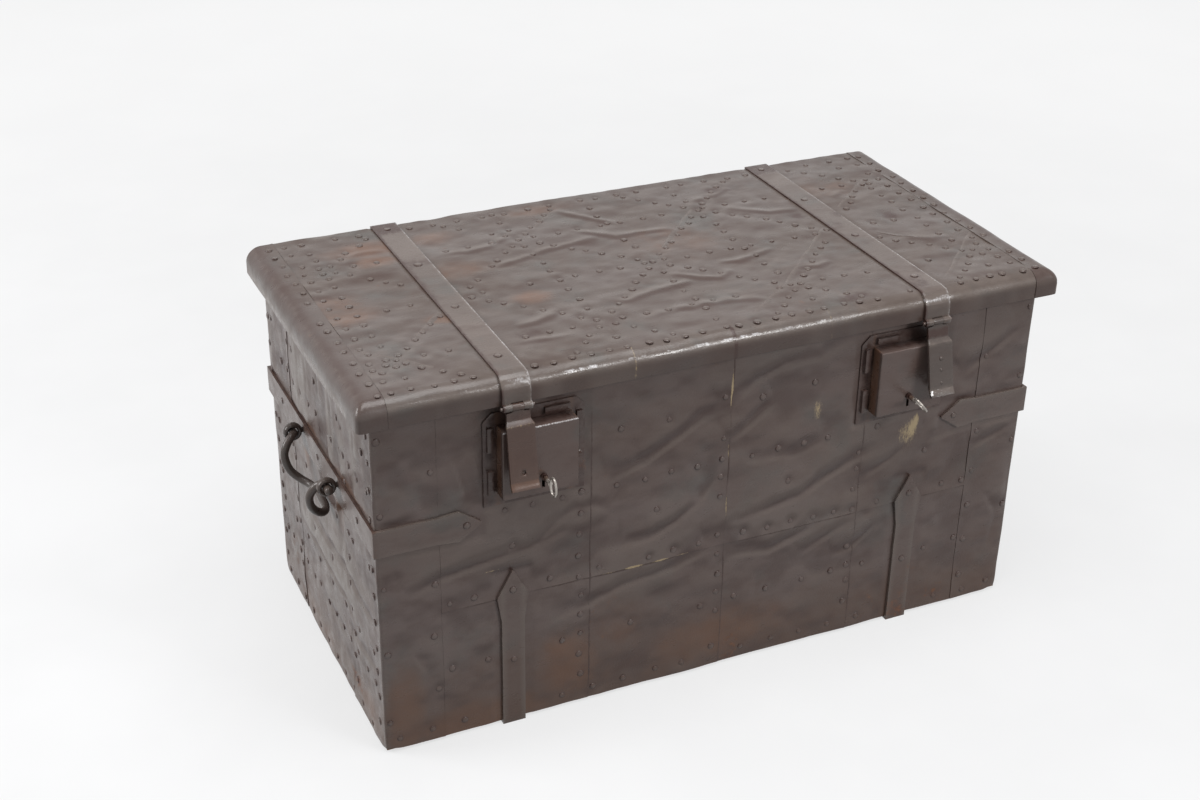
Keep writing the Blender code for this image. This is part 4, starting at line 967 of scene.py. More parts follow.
def end_strap_marks(x, y, z):
    """Rusty along the top edge on the ends, where wet lies, with a painted highlight along the lower edge and along
    the top edge off the ends.
    """
    low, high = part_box("end_strap_left")
    on_end = np.clip((np.abs(x) - abs(left_face) + 0.002) / 0.002, 0.0, 1.0)
    top = np.exp(-(((high.z - z) / 0.006) ** 2))
    foot_edge = np.exp(-(((z - low.z) / 0.004) ** 2))
    painted_light = np.maximum(foot_edge * 0.7, top * (1 - on_end) * 0.8)
    return {"stain": top * on_end * 0.45, "grime_and_shade": top * on_end * 0.45, "painted_light": painted_light}


def body_strap_marks(x, y, z):
    """Chipped paint and a painted highlight along both edges of the shank and at the point."""
    off = np.abs(x - (x.min() + x.max()) / 2)
    shank = off[(z > 0.03) & (z < 0.15)].max()
    rim = np.exp(-(((off - shank) / 0.0025) ** 2))
    return {"painted_light": rim * 0.9, "painted_glint": rim * 0.25}


strap_iron = iron_finish("strap_iron", STRAP_PAINT, STRAP_FADED, 0.05, True, 0.03, 0.35)
for word in ("left", "right"):
    node = f"body_strap_{word}"
    forged_copy(node, node + "_forged", STRAP_EASE, 0.0003, 0.008, strap_iron, "chest", 3.0,
                body_strap_marks)
    node = f"end_strap_{word}"
    forged_copy(node, node + "_forged", STRAP_EASE, 0.0003, 0.010, strap_iron, "chest", 3.0,
                end_strap_marks)
strap_spots = []
for word in ("left", "right"):
    low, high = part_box(f"body_strap_{word}")
    middle = (low.x + high.x) / 2
    strap_spots += [((middle, low.y, height), (0.0, -1.0, 0.0)) for height in STRAP_NAIL_HEIGHTS]
    strap_spots += [((middle, back_face + 0.0043, height), (0.0, 1.0, 0.0)) for height in (0.10, 0.24, 0.40)]
    low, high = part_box(f"end_strap_{word}")
    level = (low.z + high.z) / 2
    tip = high.x if word == "left" else low.x
    away = -1 if word == "left" else 1
    strap_spots.append(((tip + away * 0.020, low.y, level), (0.0, -1.0, 0.0)))
    strap_spots.append(((tip + away * 0.020, high.y, level), (0.0, 1.0, 0.0)))
    face = low.x if word == "left" else high.x
    strap_spots += [((face, y, level), (away, 0.0, 0.0)) for y in (-0.150, 0.020, 0.190)]
nail_heads("strap_nails", strap_spots, strap_iron, "chest")


# The lid's board, its sheets and end strips
# One thick board, clad in four sheets bent down over its front edge and a rounded strip on
# each end; the nails cross it in a lattice with diagonals, and thin laps show beside them.
lid_low, lid_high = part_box("lid_sheet_1")
lid_front = lid_low.y
lid_back = lid_high.y
lid_top = lid_high.z
lid_under = lid_low.z
strip_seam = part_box("lid_end_strip_right")[0].x
lid_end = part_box("lid_end_strip_right")[1].x
LID_ROLL = 0.020
LID_GRID = 0.0033
LID_PAINT = (0.081, 0.058, 0.047, 1.0)
LID_FADED = (0.114, 0.092, 0.083, 1.0)
LATTICE_PITCH = 0.1405
LATTICE_ROWS = (0.150, 0.0075, -0.134)
DIAGONAL_SPACING = 0.0245
LID_FOLDS = (
    (0.0032, 0.0065, ((-0.065, 0.150), (-0.043, 0.130), (-0.011, 0.103), (0.019, 0.106), (0.049, 0.103),
                     (0.073, 0.099))),
    (0.0028, 0.0065, ((-0.056, 0.224), (-0.037, 0.197), (-0.011, 0.167), (0.014, 0.141))),
    (0.0026, 0.0065, ((-0.260, 0.143), (-0.225, 0.133), (-0.193, 0.138), (-0.161, 0.157), (-0.140, 0.170))),
    (0.0026, 0.0065, ((-0.215, 0.072), (-0.166, 0.084), (-0.123, 0.100), (-0.080, 0.106), (-0.037, 0.111))),
    (0.0026, 0.0065, ((-0.250, -0.105), (-0.222, -0.104), (-0.193, -0.093), (-0.181, -0.081))),
    (0.0028, 0.0065, ((-0.110, -0.094), (-0.080, -0.090), (-0.048, -0.080), (-0.011, -0.074), (0.019, -0.068))),
    (0.0024, 0.0072, ((-0.091, -0.147), (-0.037, -0.137), (0.019, -0.141), (0.049, -0.147), (0.086, -0.157))),
    (0.0026, 0.0058, ((0.000, -0.037), (0.032, -0.064), (0.059, -0.074), (0.086, -0.055))),
    (0.0024, 0.0058, ((0.081, -0.026), (0.108, -0.034), (0.140, -0.026), (0.172, -0.015))),
    (0.0024, 0.0058, ((0.169, -0.088), (0.199, -0.093), (0.226, -0.082))),
    (0.0026, 0.0065, ((0.177, 0.135), (0.210, 0.111), (0.231, 0.098), (0.274, 0.095))),
    (0.0022, 0.0065, ((0.140, 0.178), (0.183, 0.184), (0.220, 0.205))),
    (0.0018, 0.0065, ((0.344, 0.114), (0.360, 0.122), (0.376, 0.133))),
    (0.0018, 0.0065, ((-0.381, 0.181), (-0.354, 0.186), (-0.327, 0.184))),
    (0.0018, 0.0065, ((-0.274, -0.147), (-0.230, -0.152), (-0.188, -0.155))),
    (0.0016, 0.0072, ((0.360, -0.050), (0.395, -0.075), (0.420, -0.070))),
)
# laps beside the nail rows, each from one end to the other (x, y)
LID_LAPS = (
    ((0.129, 0.154), (0.030, 0.049)),
    ((0.271, 0.020), (0.121, -0.131)),
    ((0.121, -0.131), (0.048, -0.184)),
    ((0.427, 0.162), (0.333, 0.079)),
    ((0.457, -0.074), (0.338, -0.190)),
    ((0.333, -0.023), (0.379, -0.066)),
    ((-0.381, -0.168), (-0.456, -0.088)),
    ((-0.064, 0.221), (-0.113, 0.176)),
    ((-0.325, -0.026), (-0.376, -0.080)),
)
LAP_STRIP_WIDTH = 0.009
LID_SEAM_REACH = 0.00016
# where the seams have split at the front edge: x, the mark they leave, how strong
LID_SEAM_WEAR = ((-LATTICE_PITCH, "bare", 0.50), (0.0, "grime_and_shade", 0.9), (LATTICE_PITCH, "bare", 0.42))
LID_NAIL_RISE = 0.0019
LID_FITTINGS = ("lid_strap_left", "lid_strap_right")
LID_STAINS = (
    (-0.343, 0.193, 0.068, 0.030, 0.8),
    (-0.353, 0.151, 0.033, 0.021, 0.9),
    (-0.259, 0.198, 0.045, 0.027, 0.6),
    (-0.259, 0.081, 0.060, 0.033, 0.5),
    (-0.197, -0.032, 0.030, 0.021, 0.9),
    (-0.437, 0.004, 0.045, 0.033, 0.7),
    (-0.482, 0.007, 0.024, 0.060, 0.8),
    (-0.443, 0.041, 0.045, 0.030, 0.5),
    (-0.082, 0.235, 0.060, 0.021, 0.5),
    (-0.325, -0.047, 0.030, 0.018, 0.6),
    (0.060, 0.060, 0.090, 0.075, 0.35),
    (0.340, 0.150, 0.090, 0.060, 0.35),
)
LID_SOILED = (
    (0.386, 0.020, 0.014, 0.016, 0.8),
    (0.262, 0.072, 0.014, 0.020, 0.6),
    (0.191, -0.197, 0.030, 0.014, 0.6),
    (-0.242, -0.128, 0.030, 0.014, 0.5),
    (-0.318, 0.033, 0.012, 0.030, 0.5),
    (0.198, 0.204, 0.030, 0.016, 0.5),
)


def lid_nail_lines():
    """Rows, columns and diagonals of the lattice, with rows round the edges."""
    lines = []
    reach_back = lid_back - 0.020
    reach_front = lid_front + 0.019
    rise = (LATTICE_ROWS[0] - LATTICE_ROWS[2]) / (2 * LATTICE_PITCH)
    across = strip_seam - 0.016
    for middle in (-4, -2, 0, 2, 4):
        for way in (-1, 1):
            ends = []
            for y in (reach_back - 0.012, reach_front + 0.012):
                ends.append(middle * LATTICE_PITCH + way * (y - LATTICE_ROWS[1]) / rise)
            held = sorted(max(-across, min(across, x)) for x in ends)
            if held[1] - held[0] > 0.05:
                spots = [(x, LATTICE_ROWS[1] + way * rise * (x - middle * LATTICE_PITCH)) for x in held]
                lines.append((spots[0], spots[1], DIAGONAL_SPACING))
    for x in (-3 * LATTICE_PITCH, -LATTICE_PITCH, 0.0, LATTICE_PITCH, 3 * LATTICE_PITCH):
        lines.append(((x - 0.004, reach_back), (x - 0.004, reach_front), 0.031))
    for y in LATTICE_ROWS:
        lines.append(((-strip_seam + 0.012, y), (strip_seam - 0.012, y), 0.033))
    lines.append(((-strip_seam + 0.012, reach_front), (strip_seam - 0.012, reach_front), 0.026))
    lines.append(((-strip_seam + 0.012, reach_back), (strip_seam - 0.012, reach_back), 0.036))
    for side in (-1, 1):
        for x in (strip_seam + 0.008, strip_seam - 0.012):
            lines.append(((side * x, reach_back), (side * x, reach_front), 0.030))
    return lines


lid_patches = footprints(LID_FITTINGS, 2, lid_top, 1)
lid_nails = nail_places(lid_nail_lines(), (), lid_patches)


def lid_height(x, y):
    """The lid's relief as seen from above."""
    dents = 0.0012 * soft_noise(x, y, 0.070, 0.055, 71) + 0.0009 * soft_noise(x, y, 0.034, 0.026, 72)
    dents += 0.0004 * soft_noise(x, y, 0.015, 0.013, 73)
    free = held_down(x, y, lid_nails, 0.009) * pressed(x, y, lid_patches, 0.008)
    return (0.0009 + dents + fold_height(x, y, LID_FOLDS)) * free


def lid_marks(x, y):
    """Rubbed crests, grime round the nails and worn patches of the lid, with painted shade on the slopes that face
    the front and painted light on those that face the back.
    """
    crest = np.clip(fold_height(x, y, LID_FOLDS) / 0.003, 0.0, 1.0) ** 3
    near_nail = 1.0 - held_down(x, y, lid_nails, 0.007)
    soil = bare_marks(x, y, LID_SOILED) * 0.7
    stain = bare_marks(x, y, LID_STAINS) * 0.75
    slopes = slope_shading(lid_height, x, y, 0.65, 0.50)
    return {"rub": crest * 0.25, "grime_and_shade": np.maximum(near_nail * 0.15, soil), "stain": stain, **slopes}


lid_iron = iron_finish("lid_iron", LID_PAINT, LID_FADED, 0.02, False, 0.0, 0.55)
dress(("lid_board",), pine_finish("pine_lid", (0.45, 14.0, 14.0), (0.0, 1.0, 0.0)))
flat_run = lid_back - lid_front - LID_ROLL
roll_run = LID_ROLL * math.pi / 2
drop_run = lid_top - LID_ROLL - lid_under
down_steps = np.concatenate((
    steps(0.0, flat_run, LID_GRID),
    np.linspace(flat_run, flat_run + roll_run, 13)[1:],
    np.linspace(flat_run + roll_run, flat_run + roll_run + drop_run, 7)[1:],
))
for sheet in range(1, 5):
    node = f"lid_sheet_{sheet}"
    low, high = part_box(node)
    span = steps(low.x - LID_SEAM_REACH * (sheet > 1), high.x + LID_SEAM_REACH * (sheet < 4), LID_GRID)
    t, x = np.meshgrid(down_steps, span, indexing="ij")
    turn = np.clip((t - flat_run) / LID_ROLL, 0.0, math.pi / 2)
    past = np.maximum(t - flat_run - roll_run, 0.0)
    y = lid_back - np.minimum(t, flat_run) - LID_ROLL * np.sin(turn)
    z = lid_top - LID_ROLL * (1 - np.cos(turn)) - past
    points = np.stack((x, y, z), axis=-1)
    normals = np.stack((np.zeros_like(x), -np.sin(turn), np.cos(turn)), axis=-1)
    rolled = np.clip((t - flat_run + 0.006) / 0.010, 0.0, 1.0)
    edge = 0.0003 + 0.0007 * soft_noise(x, t, 0.035, 0.018, 77)
    edge *= pressed(x, t * 0.0, [(span, (0.0, 0.0)) for span, _ in lid_patches], 0.006)
    heights = lid_height(x, y) * (1 - rolled) + edge * rolled
    marks = lid_marks(x, y)
    arris = np.exp(-(((t - flat_run - roll_run * 0.66) / 0.006) ** 2))
    marks["rub"] = np.maximum(marks["rub"] * (1 - rolled), arris * 0.50)
    # A painted highlight: a broken near-white line low on the front roll, strongest left of the middle.
    glint = np.exp(-(((t - flat_run - roll_run * 0.62) / 0.0030) ** 2))
    glint *= 0.46 + 0.34 * soft_noise(x, t, 0.006, 0.004, 78) + 0.16 * soft_noise(x, t, 0.040, 0.020, 81)
    marks["painted_glint"] = glint * np.clip(1.15 - ((x + 0.10) / 0.40) ** 2, 0.0, 1.0)
    # Painted shade on the front drop below the roll.
    hanging = np.clip((t - flat_run - roll_run * 0.80) / 0.006, 0.0, 1.0)
    marks["painted_shade"] = np.maximum(marks["painted_shade"] * (1 - rolled), hanging * 0.55)
    for seam_x, mark, strength in LID_SEAM_WEAR:
        at_seam = np.exp(-(((x - seam_x) / 0.0026) ** 2)) * rolled * strength
        marks[mark] = np.maximum(marks.get(mark, 0.0), at_seam)
    if sheet < 4:
        heights += lap_lift(high.x - x, t, 160 + sheet) * rolled
    heights = settled(heights)
    mesh = sheet_mesh(node + "_dented", points, normals, heights, marks)
    place_piece(node + "_dented", mesh, lid_iron, "lid", (node,))

strip_width = lid_end - strip_seam
STRIP_CORNER = 0.006
for side, word in ((-1, "left"), (1, "right")):
    node = f"lid_end_strip_{word}"
    rings = [(inset, 0.0, 0.0) for inset in np.linspace(strip_width, LID_ROLL, 7)[:-1]]
    rings += [(LID_ROLL, turn, 0.0) for turn in np.linspace(0.0, math.pi / 2, 13)]
    rings += [(LID_ROLL, math.pi / 2, fall) for fall in np.linspace(0.0, drop_run, 6)[1:]]
    front_share = np.linspace(0.0, 1.0, 9)[:-1]
    corner_share = np.linspace(0.0, 1.0, 7)[:-1]
    end_share = np.linspace(0.0, 1.0, 120)
    shape = (len(rings), len(front_share) + len(corner_share) + len(end_share))
    points = np.zeros((*shape, 3))
    normals = np.zeros((*shape, 3))
    for ring, (inset, turn, fall) in enumerate(rings):
        reach = strip_width - inset + LID_ROLL * math.sin(turn) * (inset == LID_ROLL)
        bend = STRIP_CORNER * min(1.0, reach / strip_width * 1.2) if reach > 0 else 0.0
        bend = min(bend, reach)
        height = lid_top - LID_ROLL * (1 - math.cos(turn)) - fall
        front_y = lid_front + strip_width - reach
        flat = reach - bend
        legs = [(flat * share, 0.0, 0.0) for share in front_share]
        legs += [(flat + bend * math.sin(a), bend * (1 - math.cos(a)), a) for a in corner_share * math.pi / 2]
        run = lid_back - front_y - bend
        legs += [(reach, bend + run * share, math.pi / 2) for share in end_share]
        for column, (out, back, heading) in enumerate(legs):
            points[ring, column] = (side * (strip_seam + out), front_y + back, height)
            level = math.sin(turn)
            normals[ring, column] = (side * level * math.sin(heading), -level * math.cos(heading), math.cos(turn))
    dents = 0.0006 * soft_noise(points[..., 0] + points[..., 2], points[..., 1], 0.022, 0.045, 90 + side)
    ring_at = np.arange(len(rings))[:, None] + np.zeros(shape)
    free = held_down(points[..., 0], points[..., 1], [n for n in lid_nails if abs(n[0]) > strip_seam - 0.02], 0.009)
    heights = settled((0.0005 + dents) * free)
    heights += 0.0009 * np.exp(-ring_at / 1.2)
    rub = 0.25 * np.exp(-(((ring_at - 11) / 3.0) ** 2))
    # Painted shade on the upper roll and down the front corner, and painted light with painted highlights low on the
    # end.
    streaked = 0.68 + 0.22 * soft_noise(points[..., 1], ring_at, 0.007, 9.0, 95 + side)
    painted_shade = streaked * np.exp(-(((ring_at - 10) / 5.5) ** 2))
    on_front = np.arange(shape[1]) < len(front_share) + 3
    painted_shade = np.maximum(painted_shade, np.clip((ring_at - 15.6) / 2.3, 0.0, 1.0) * 0.55 * on_front)
    painted_light = np.clip((ring_at - 18) / 3.0, 0.0, 1.0) * (np.arange(shape[1]) > shape[1] - len(end_share) + 8)
    marks = {"rub": rub, "grime_and_shade": (1 - free) * 0.5, "painted_shade": painted_shade, "painted_light": painted_light, "painted_glint": painted_light * 0.42}
    mesh = sheet_mesh(node + "_rolled", points, normals, heights, marks, whole_back=True)
    place_piece(node + "_rolled", mesh, lid_iron, "lid", (node,))

nail_u = np.array([u for u, _ in lid_nails])
nail_v = np.array([v for _, v in lid_nails])
nail_h = settled(lid_height(nail_u, nail_v))
lid_spots = [((u, v, lid_top + h), (0.0, 0.0, 1.0)) for u, v, h in zip(nail_u, nail_v, nail_h)]
nail_heads("lid_nails", lid_spots, lid_iron, "lid", NAIL_RADIUS, LID_NAIL_RISE, 0.65)

verts = []
faces = []
for (x0, y0), (x1, y1) in LID_LAPS:
    length = math.hypot(x1 - x0, y1 - y0)
    count = max(4, round(length / 0.003))
    way = ((x1 - x0) / length, (y1 - y0) / length)
    aside = (way[1], -way[0])
    start = len(verts)
    for step in range(count + 1):
        run = length * step / count
        wander = 0.0008 * math.sin(run * 90.0 + x0 * 40.0)
        near = np.array((x0 + way[0] * run + aside[0] * wander, y0 + way[1] * run + aside[1] * wander))
        far = near - np.array(aside) * LAP_STRIP_WIDTH
        fade = min(1.0, 4.0 * min(step, count - step) / count + 0.15)
        for spot, rise in ((near, 0.0005 * fade), (far, -0.0001), (far, -0.0009), (near, -0.0009)):
            level = float(settled(lid_height(np.array([spot[0]]), np.array([spot[1]])))[0])
            verts.append((spot[0], spot[1], lid_top + min(level + rise, SHEET_HIGH)))
    for step in range(count):
        here = start + step * 4
        for corner in range(4):
            after = (corner + 1) % 4
            faces.append((here + corner, here + after, here + 4 + after, here + 4 + corner))
    faces.append((start, start + 3, start + 2, start + 1))
    end = start + count * 4
    faces.append((end, end + 1, end + 2, end + 3))
laps_mesh = bpy.data.meshes.new("lid_laps")
laps_mesh.from_pydata(verts, [], faces)
rub_layer = laps_mesh.attributes.new("rub", "FLOAT", "POINT")
rub_layer.data.foreach_set("value", np.array([0.4 if i % 4 == 0 else 0.0 for i in range(len(verts))], np.float32))
laps_mesh.shade_smooth()
laps_mesh.set_sharp_from_angle(angle=math.radians(40))
place_piece("lid_laps", laps_mesh, lid_iron, "lid")


# Lid straps and the hinge pins
# Forged straps lie over the lid from the back hinges to the hasps' knuckles, bent down over the
# front edge; four broad nails hold each. Plain round pins join the knuckles.
LID_STRAP_NAILS = (0.250, 0.119, -0.023, -0.173)
LID_STRAP_NAIL_RADIUS = 0.0062
LID_STRAP_NAIL_RISE = 0.0009
LID_STRAP_THINNED = 0.0019
# the worn middle of the bend, down from the lid's top, and how far the wear reaches
LID_STRAP_BEND_DROP = 0.007
LID_STRAP_BEND_REACH = 0.0055


def lid_strap_marks(x, y, z):
    """Rubbed, with a painted highlight, where the strap bends over the lid's edge; a painted highlight down its right
    edge and a painted shadow down its left; grimy in patches.
    """
    low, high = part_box("lid_strap_left" if x.mean() < 0 else "lid_strap_right")
    below = (lid_top - LID_STRAP_BEND_DROP - z) / LID_STRAP_BEND_REACH
    bend = np.exp(-(below**2)) * (y < lid_front + LID_ROLL)
    broken = 0.60 + 0.40 * soft_noise(x, y + z, 0.009, 0.006, 79)
    # The left edge is darkened as a painted shadow; the right edge and its arris are lightened as painted highlights.
    right_edge = np.exp(-(((high.x - x) / 0.003) ** 2))
    left_edge = np.exp(-(((x - low.x) / 0.003) ** 2))
    patches = np.clip(soft_noise(x, y, 0.024, 0.035, 80), 0.0, 1.0)
    back = np.clip((y - 0.22) / 0.04, 0.0, 0.5)
    grime_and_shade = np.maximum(np.maximum(left_edge * 0.6, patches * 0.5), back) * (1 - bend)
    arris = np.exp(-(((high.x - x) / 0.0018) ** 2)) * (0.52 + 0.08 * soft_noise(y, z, 0.020, 0.020, 82))
    painted_glint = np.maximum(bend * broken * 0.70, arris)
    return {"rub": bend * 0.75, "painted_glint": painted_glint, "painted_light": right_edge * 0.7 * (1 - bend), "grime_and_shade": grime_and_shade}


lid_strap_iron = iron_finish("lid_strap_iron", (0.104, 0.080, 0.069, 1.0), (0.140, 0.110, 0.096, 1.0), 0.05, False, 0.04)
for word in ("left", "right"):
    node = f"lid_strap_{word}"
    strap = forged_copy(node, node + "_forged", STRAP_EASE, 0.0003, 0.006, lid_strap_iron, "lid",
                        9.0, lid_strap_marks)
    low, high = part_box(node)
    for vert in strap.data.vertices:
        if vert.co.z > lid_top + LID_STRAP_THINNED:
            vert.co.z -= LID_STRAP_THINNED
    middle = (low.x + high.x) / 2
    face = high.z - LID_STRAP_THINNED
    spots = [((middle, y, face), (0.0, 0.0, 1.0)) for y in LID_STRAP_NAILS]
    nail_heads(f"lid_strap_nails_{word}", spots, lid_strap_iron, "lid",
               LID_STRAP_NAIL_RADIUS, LID_STRAP_NAIL_RISE)
dress(("hinge_pin_left", "hinge_pin_right"), strap_iron)


# Locks
# Each lock is a plate nailed to the front with raised cleats round it and a case of folded
# iron riveted on; a sliding bolt and its leaf spring are inside, and the keyhole is in the case.
LOCK_PAINT = (0.104, 0.070, 0.060, 1.0)
LOCK_FADED = (0.122, 0.090, 0.080, 1.0)
lock_iron = iron_finish("lock_iron_finish", LOCK_PAINT, LOCK_FADED, 0.06, False, 0.02, 0.35)


def lock_marks(x, y, z):
    """Rusty down the case's sides, where rain and hands don't reach, dark round the plate, and a painted highlight
    along the case's top front edge.
    """
    low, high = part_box("lock_case_left" if x.mean() < 0 else "lock_case_right")
    behind = np.clip((y - low.y - 0.003) / 0.006, 0.0, 1.0)
    at_side = np.clip(1.0 - np.minimum(np.abs(x - low.x), np.abs(x - high.x)) / 0.004, 0.0, 1.0)
    # A painted highlight along the top front edge of the case, stronger on the left lock.
    top_edge = np.exp(-(((high.z - z) / 0.0022) ** 2)) * np.clip(1.0 - (y - low.y) / 0.003, 0.0, 1.0)
    top_edge *= 0.85 if x.mean() < 0 else 0.45
    return {"stain": behind * at_side * 0.9, "grime_and_shade": behind * (1 - at_side) * 0.35, "painted_glint": top_edge}


for word in ("left", "right"):
    for group, ease, cut in (("lock_plate", 0.0006, 0.010), ("lock_case", 0.0013, 0.004)):
        node = f"{group}_{word}"
        forged_copy(node, node + "_beaten", ease, 0.00025, cut, lock_iron, "chest", 5.0, lock_marks)
dress(("lock_bolt_left", "lock_bolt_right", "lock_spring_left", "lock_spring_right"), lock_iron)


# Hasps
# A cranked forged flap hangs from each lid strap on its own pin and carries the staple that
# the lock's bolt enters. The left one is rusty, the right one greyer with rivets down its middle.
HASP_LEAN = {"left": 9.5, "right": 12.5}
HASP_RIVET_DROPS = {"left": (), "right": (0.050, 0.066, 0.084)}
HASP_RIVET_RADIUS = 0.0030
HASP_RIVET_RISE = 0.0014
HASP_HOLE_DROP = 0.084
HASP_HOLE_RADIUS = 0.0027
HASP_HOLE_DEPTH = 0.0016
HASP_LIP_RISE = 0.004
HASP_NECK_END = {"left": 0.018, "right": 0.024}
HASP_CRANK = 0.006
LEFT_HASP_PAINT = (0.070, 0.040, 0.031, 1.0)
LEFT_HASP_FADED = (0.100, 0.060, 0.046, 1.0)
RIGHT_HASP_PAINT = (0.072, 0.055, 0.048, 1.0)
RIGHT_HASP_FADED = (0.096, 0.076, 0.067, 1.0)
left_hasp_iron = iron_finish("left_hasp_iron", LEFT_HASP_PAINT, LEFT_HASP_FADED, 0.09, False, 0.04, 0.4)
right_hasp_iron = iron_finish("right_hasp_iron", RIGHT_HASP_PAINT, RIGHT_HASP_FADED, 0.04, False, 0.05, 0.4)


def drilled(piece, spot, outward, radius, depth):
    """The piece with a blind round hole sunk into its face."""
    drill_mesh = bpy.data.meshes.new("drill")
    work = bmesh.new()
    bmesh.ops.create_cone(work, cap_ends=True, segments=20, radius1=radius, radius2=radius, depth=depth * 2)
    work.to_mesh(drill_mesh)
    work.free()
    drill = bpy.data.objects.new("drill", drill_mesh)
    bpy.context.scene.collection.objects.link(drill)
    drill.matrix_world = Matrix.Translation(spot) @ outward.to_track_quat("Z", "Y").to_matrix().to_4x4()
    cut = piece.modifiers.new("hole", "BOOLEAN")
    cut.operation = "DIFFERENCE"
    cut.solver = "EXACT"
    cut.object = drill
    bpy.context.view_layer.update()
    seen = piece.evaluated_get(bpy.context.evaluated_depsgraph_get())
    done = bpy.data.meshes.new_from_object(seen)
    piece.modifiers.clear()
    piece.data = done
    done.set_sharp_from_angle(angle=math.radians(40))
    bpy.data.objects.remove(drill)
    bpy.data.meshes.remove(drill_mesh)


for word, iron in (("left", left_hasp_iron), ("right", right_hasp_iron)):
    node = f"hasp_{word}"
    lean = math.radians(HASP_LEAN[word])
    pin_low, pin_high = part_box(f"hasp_pin_{word}")
    pin = (pin_low + pin_high) / 2
    down = Vector((0.0, -math.sin(lean), -math.cos(lean)))
    outward = Vector((0.0, -math.cos(lean), math.sin(lean)))
    corners = [vert.co - pin for vert in frame["nodes"][node].data.vertices]
    hasp_face = max(corner.dot(outward) for corner in corners) - HASP_LIP_RISE
    hasp_end = max(corner.dot(down) for corner in corners)

    def hasp_marks(x, y, z):
        """Rubbed on the crank's ledge and along the lip, with painted shade in the neck."""
        drop = (y - pin.y) * down.y + (z - pin.z) * down.z
        ledge = np.exp(-(((drop - HASP_NECK_END[word] - HASP_CRANK * 0.8) / 0.004) ** 2))
        lip = np.exp(-(((drop - hasp_end + 0.008) / 0.004) ** 2))
        neck = np.clip(1.0 - np.abs(drop - HASP_NECK_END[word] * 0.65) / 0.010, 0.0, 1.0)
        if word == "left":
            return {"bare": ledge * 0.45 + lip * 0.25, "stain": lip * 0.8, "grime_and_shade": neck * 0.4}
        return {"rub": lip * 0.8 + ledge * 0.4, "grime_and_shade": neck * 0.8}

    flap = forged_copy(node, node + "_forged", 0.0009, 0.0003, 0.006, iron, f"{word}_hasp",
                       13.0, hasp_marks)
    spots = [pin + down * drop + outward * hasp_face for drop in HASP_RIVET_DROPS[word]]
    if spots:
        nail_heads(f"hasp_rivets_{word}", [(spot, outward) for spot in spots], iron, f"{word}_hasp",
                   HASP_RIVET_RADIUS, HASP_RIVET_RISE)
    else:
        place = pin + down * HASP_HOLE_DROP + outward * hasp_face
        drilled(flap, place, outward, HASP_HOLE_RADIUS, HASP_HOLE_DEPTH)
dress(("hasp_pin_left", "hasp_pin_right"), strap_iron)


# Keys
# Turned iron keys with an oval bow, left in the locks; handling keeps the bows bright.
KEY_STEEL = (0.32, 0.29, 0.26, 1.0)
KEY_STEEL_PALE = (0.48, 0.44, 0.40, 1.0)
KEY_EASE = 0.0004
key_iron = iron_finish("key_iron", KEY_STEEL, KEY_STEEL_PALE, 0.02, False, 0.05, 0.15, 0.6)


def key_marks(x, y, z):
    """Dark and rusty where the shank leaves the lock."""
    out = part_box("lock_case_left")[0].y - y
    return {"grime_and_shade": np.where(out < 0.004, 1.1, 0.0), "stain": np.clip((0.016 - out) / 0.006, 0.0, 1.0)}


for word in ("left", "right"):
    forged_copy(f"key_{word}", f"key_{word}_turned", KEY_EASE, 0.0, 0.004, key_iron, f"{word}_key",
                0.0, key_marks)


# Handles
# A round iron bail hangs from two forged eyes on each end; its arms bend out of the eyes,
# sweep out and down, and close in a straight grip that lies near the sheet.
BAIL_ARM = (
    (0.0, 0.0, -0.013), (0.0, 0.0, 0.0), (0.0003, 0.0, 0.006), (0.006, 0.002, 0.012),
    (0.0135, 0.010, 0.016), (0.018, 0.021, 0.019), (0.017, 0.034, 0.0225), (0.012, 0.046, 0.026),
    (0.002, 0.056, 0.031), (-0.007, 0.061, 0.041), (-0.011, 0.061, 0.055), (-0.011, 0.058, 0.078),
)
BAIL_RADIUS = 0.0056
BAIL_SIDES = 14
HALF_EYE_SPACING = 0.078
HANDLE_PAINT = (0.048, 0.036, 0.031, 1.0)
HANDLE_FADED = (0.085, 0.064, 0.054, 1.0)


def curve_through(stops, between):
    """Points on a smooth curve through the stops."""
    stops = [Vector(s) for s in stops]
    line = [stops[0] * 2 - stops[1], *stops, stops[-1] * 2 - stops[-2]]
    path = []
    for a, b, c, d in zip(line, line[1:], line[2:], line[3:]):
        for step in range(between):
            t = step / between
            bend = (-a + b * 3 - c * 3 + d) * t**3 + (a * 2 - b * 5 + c * 4 - d) * t**2 + (c - a) * t + b * 2
            path.append(bend / 2)
    return [*path, stops[-1]]


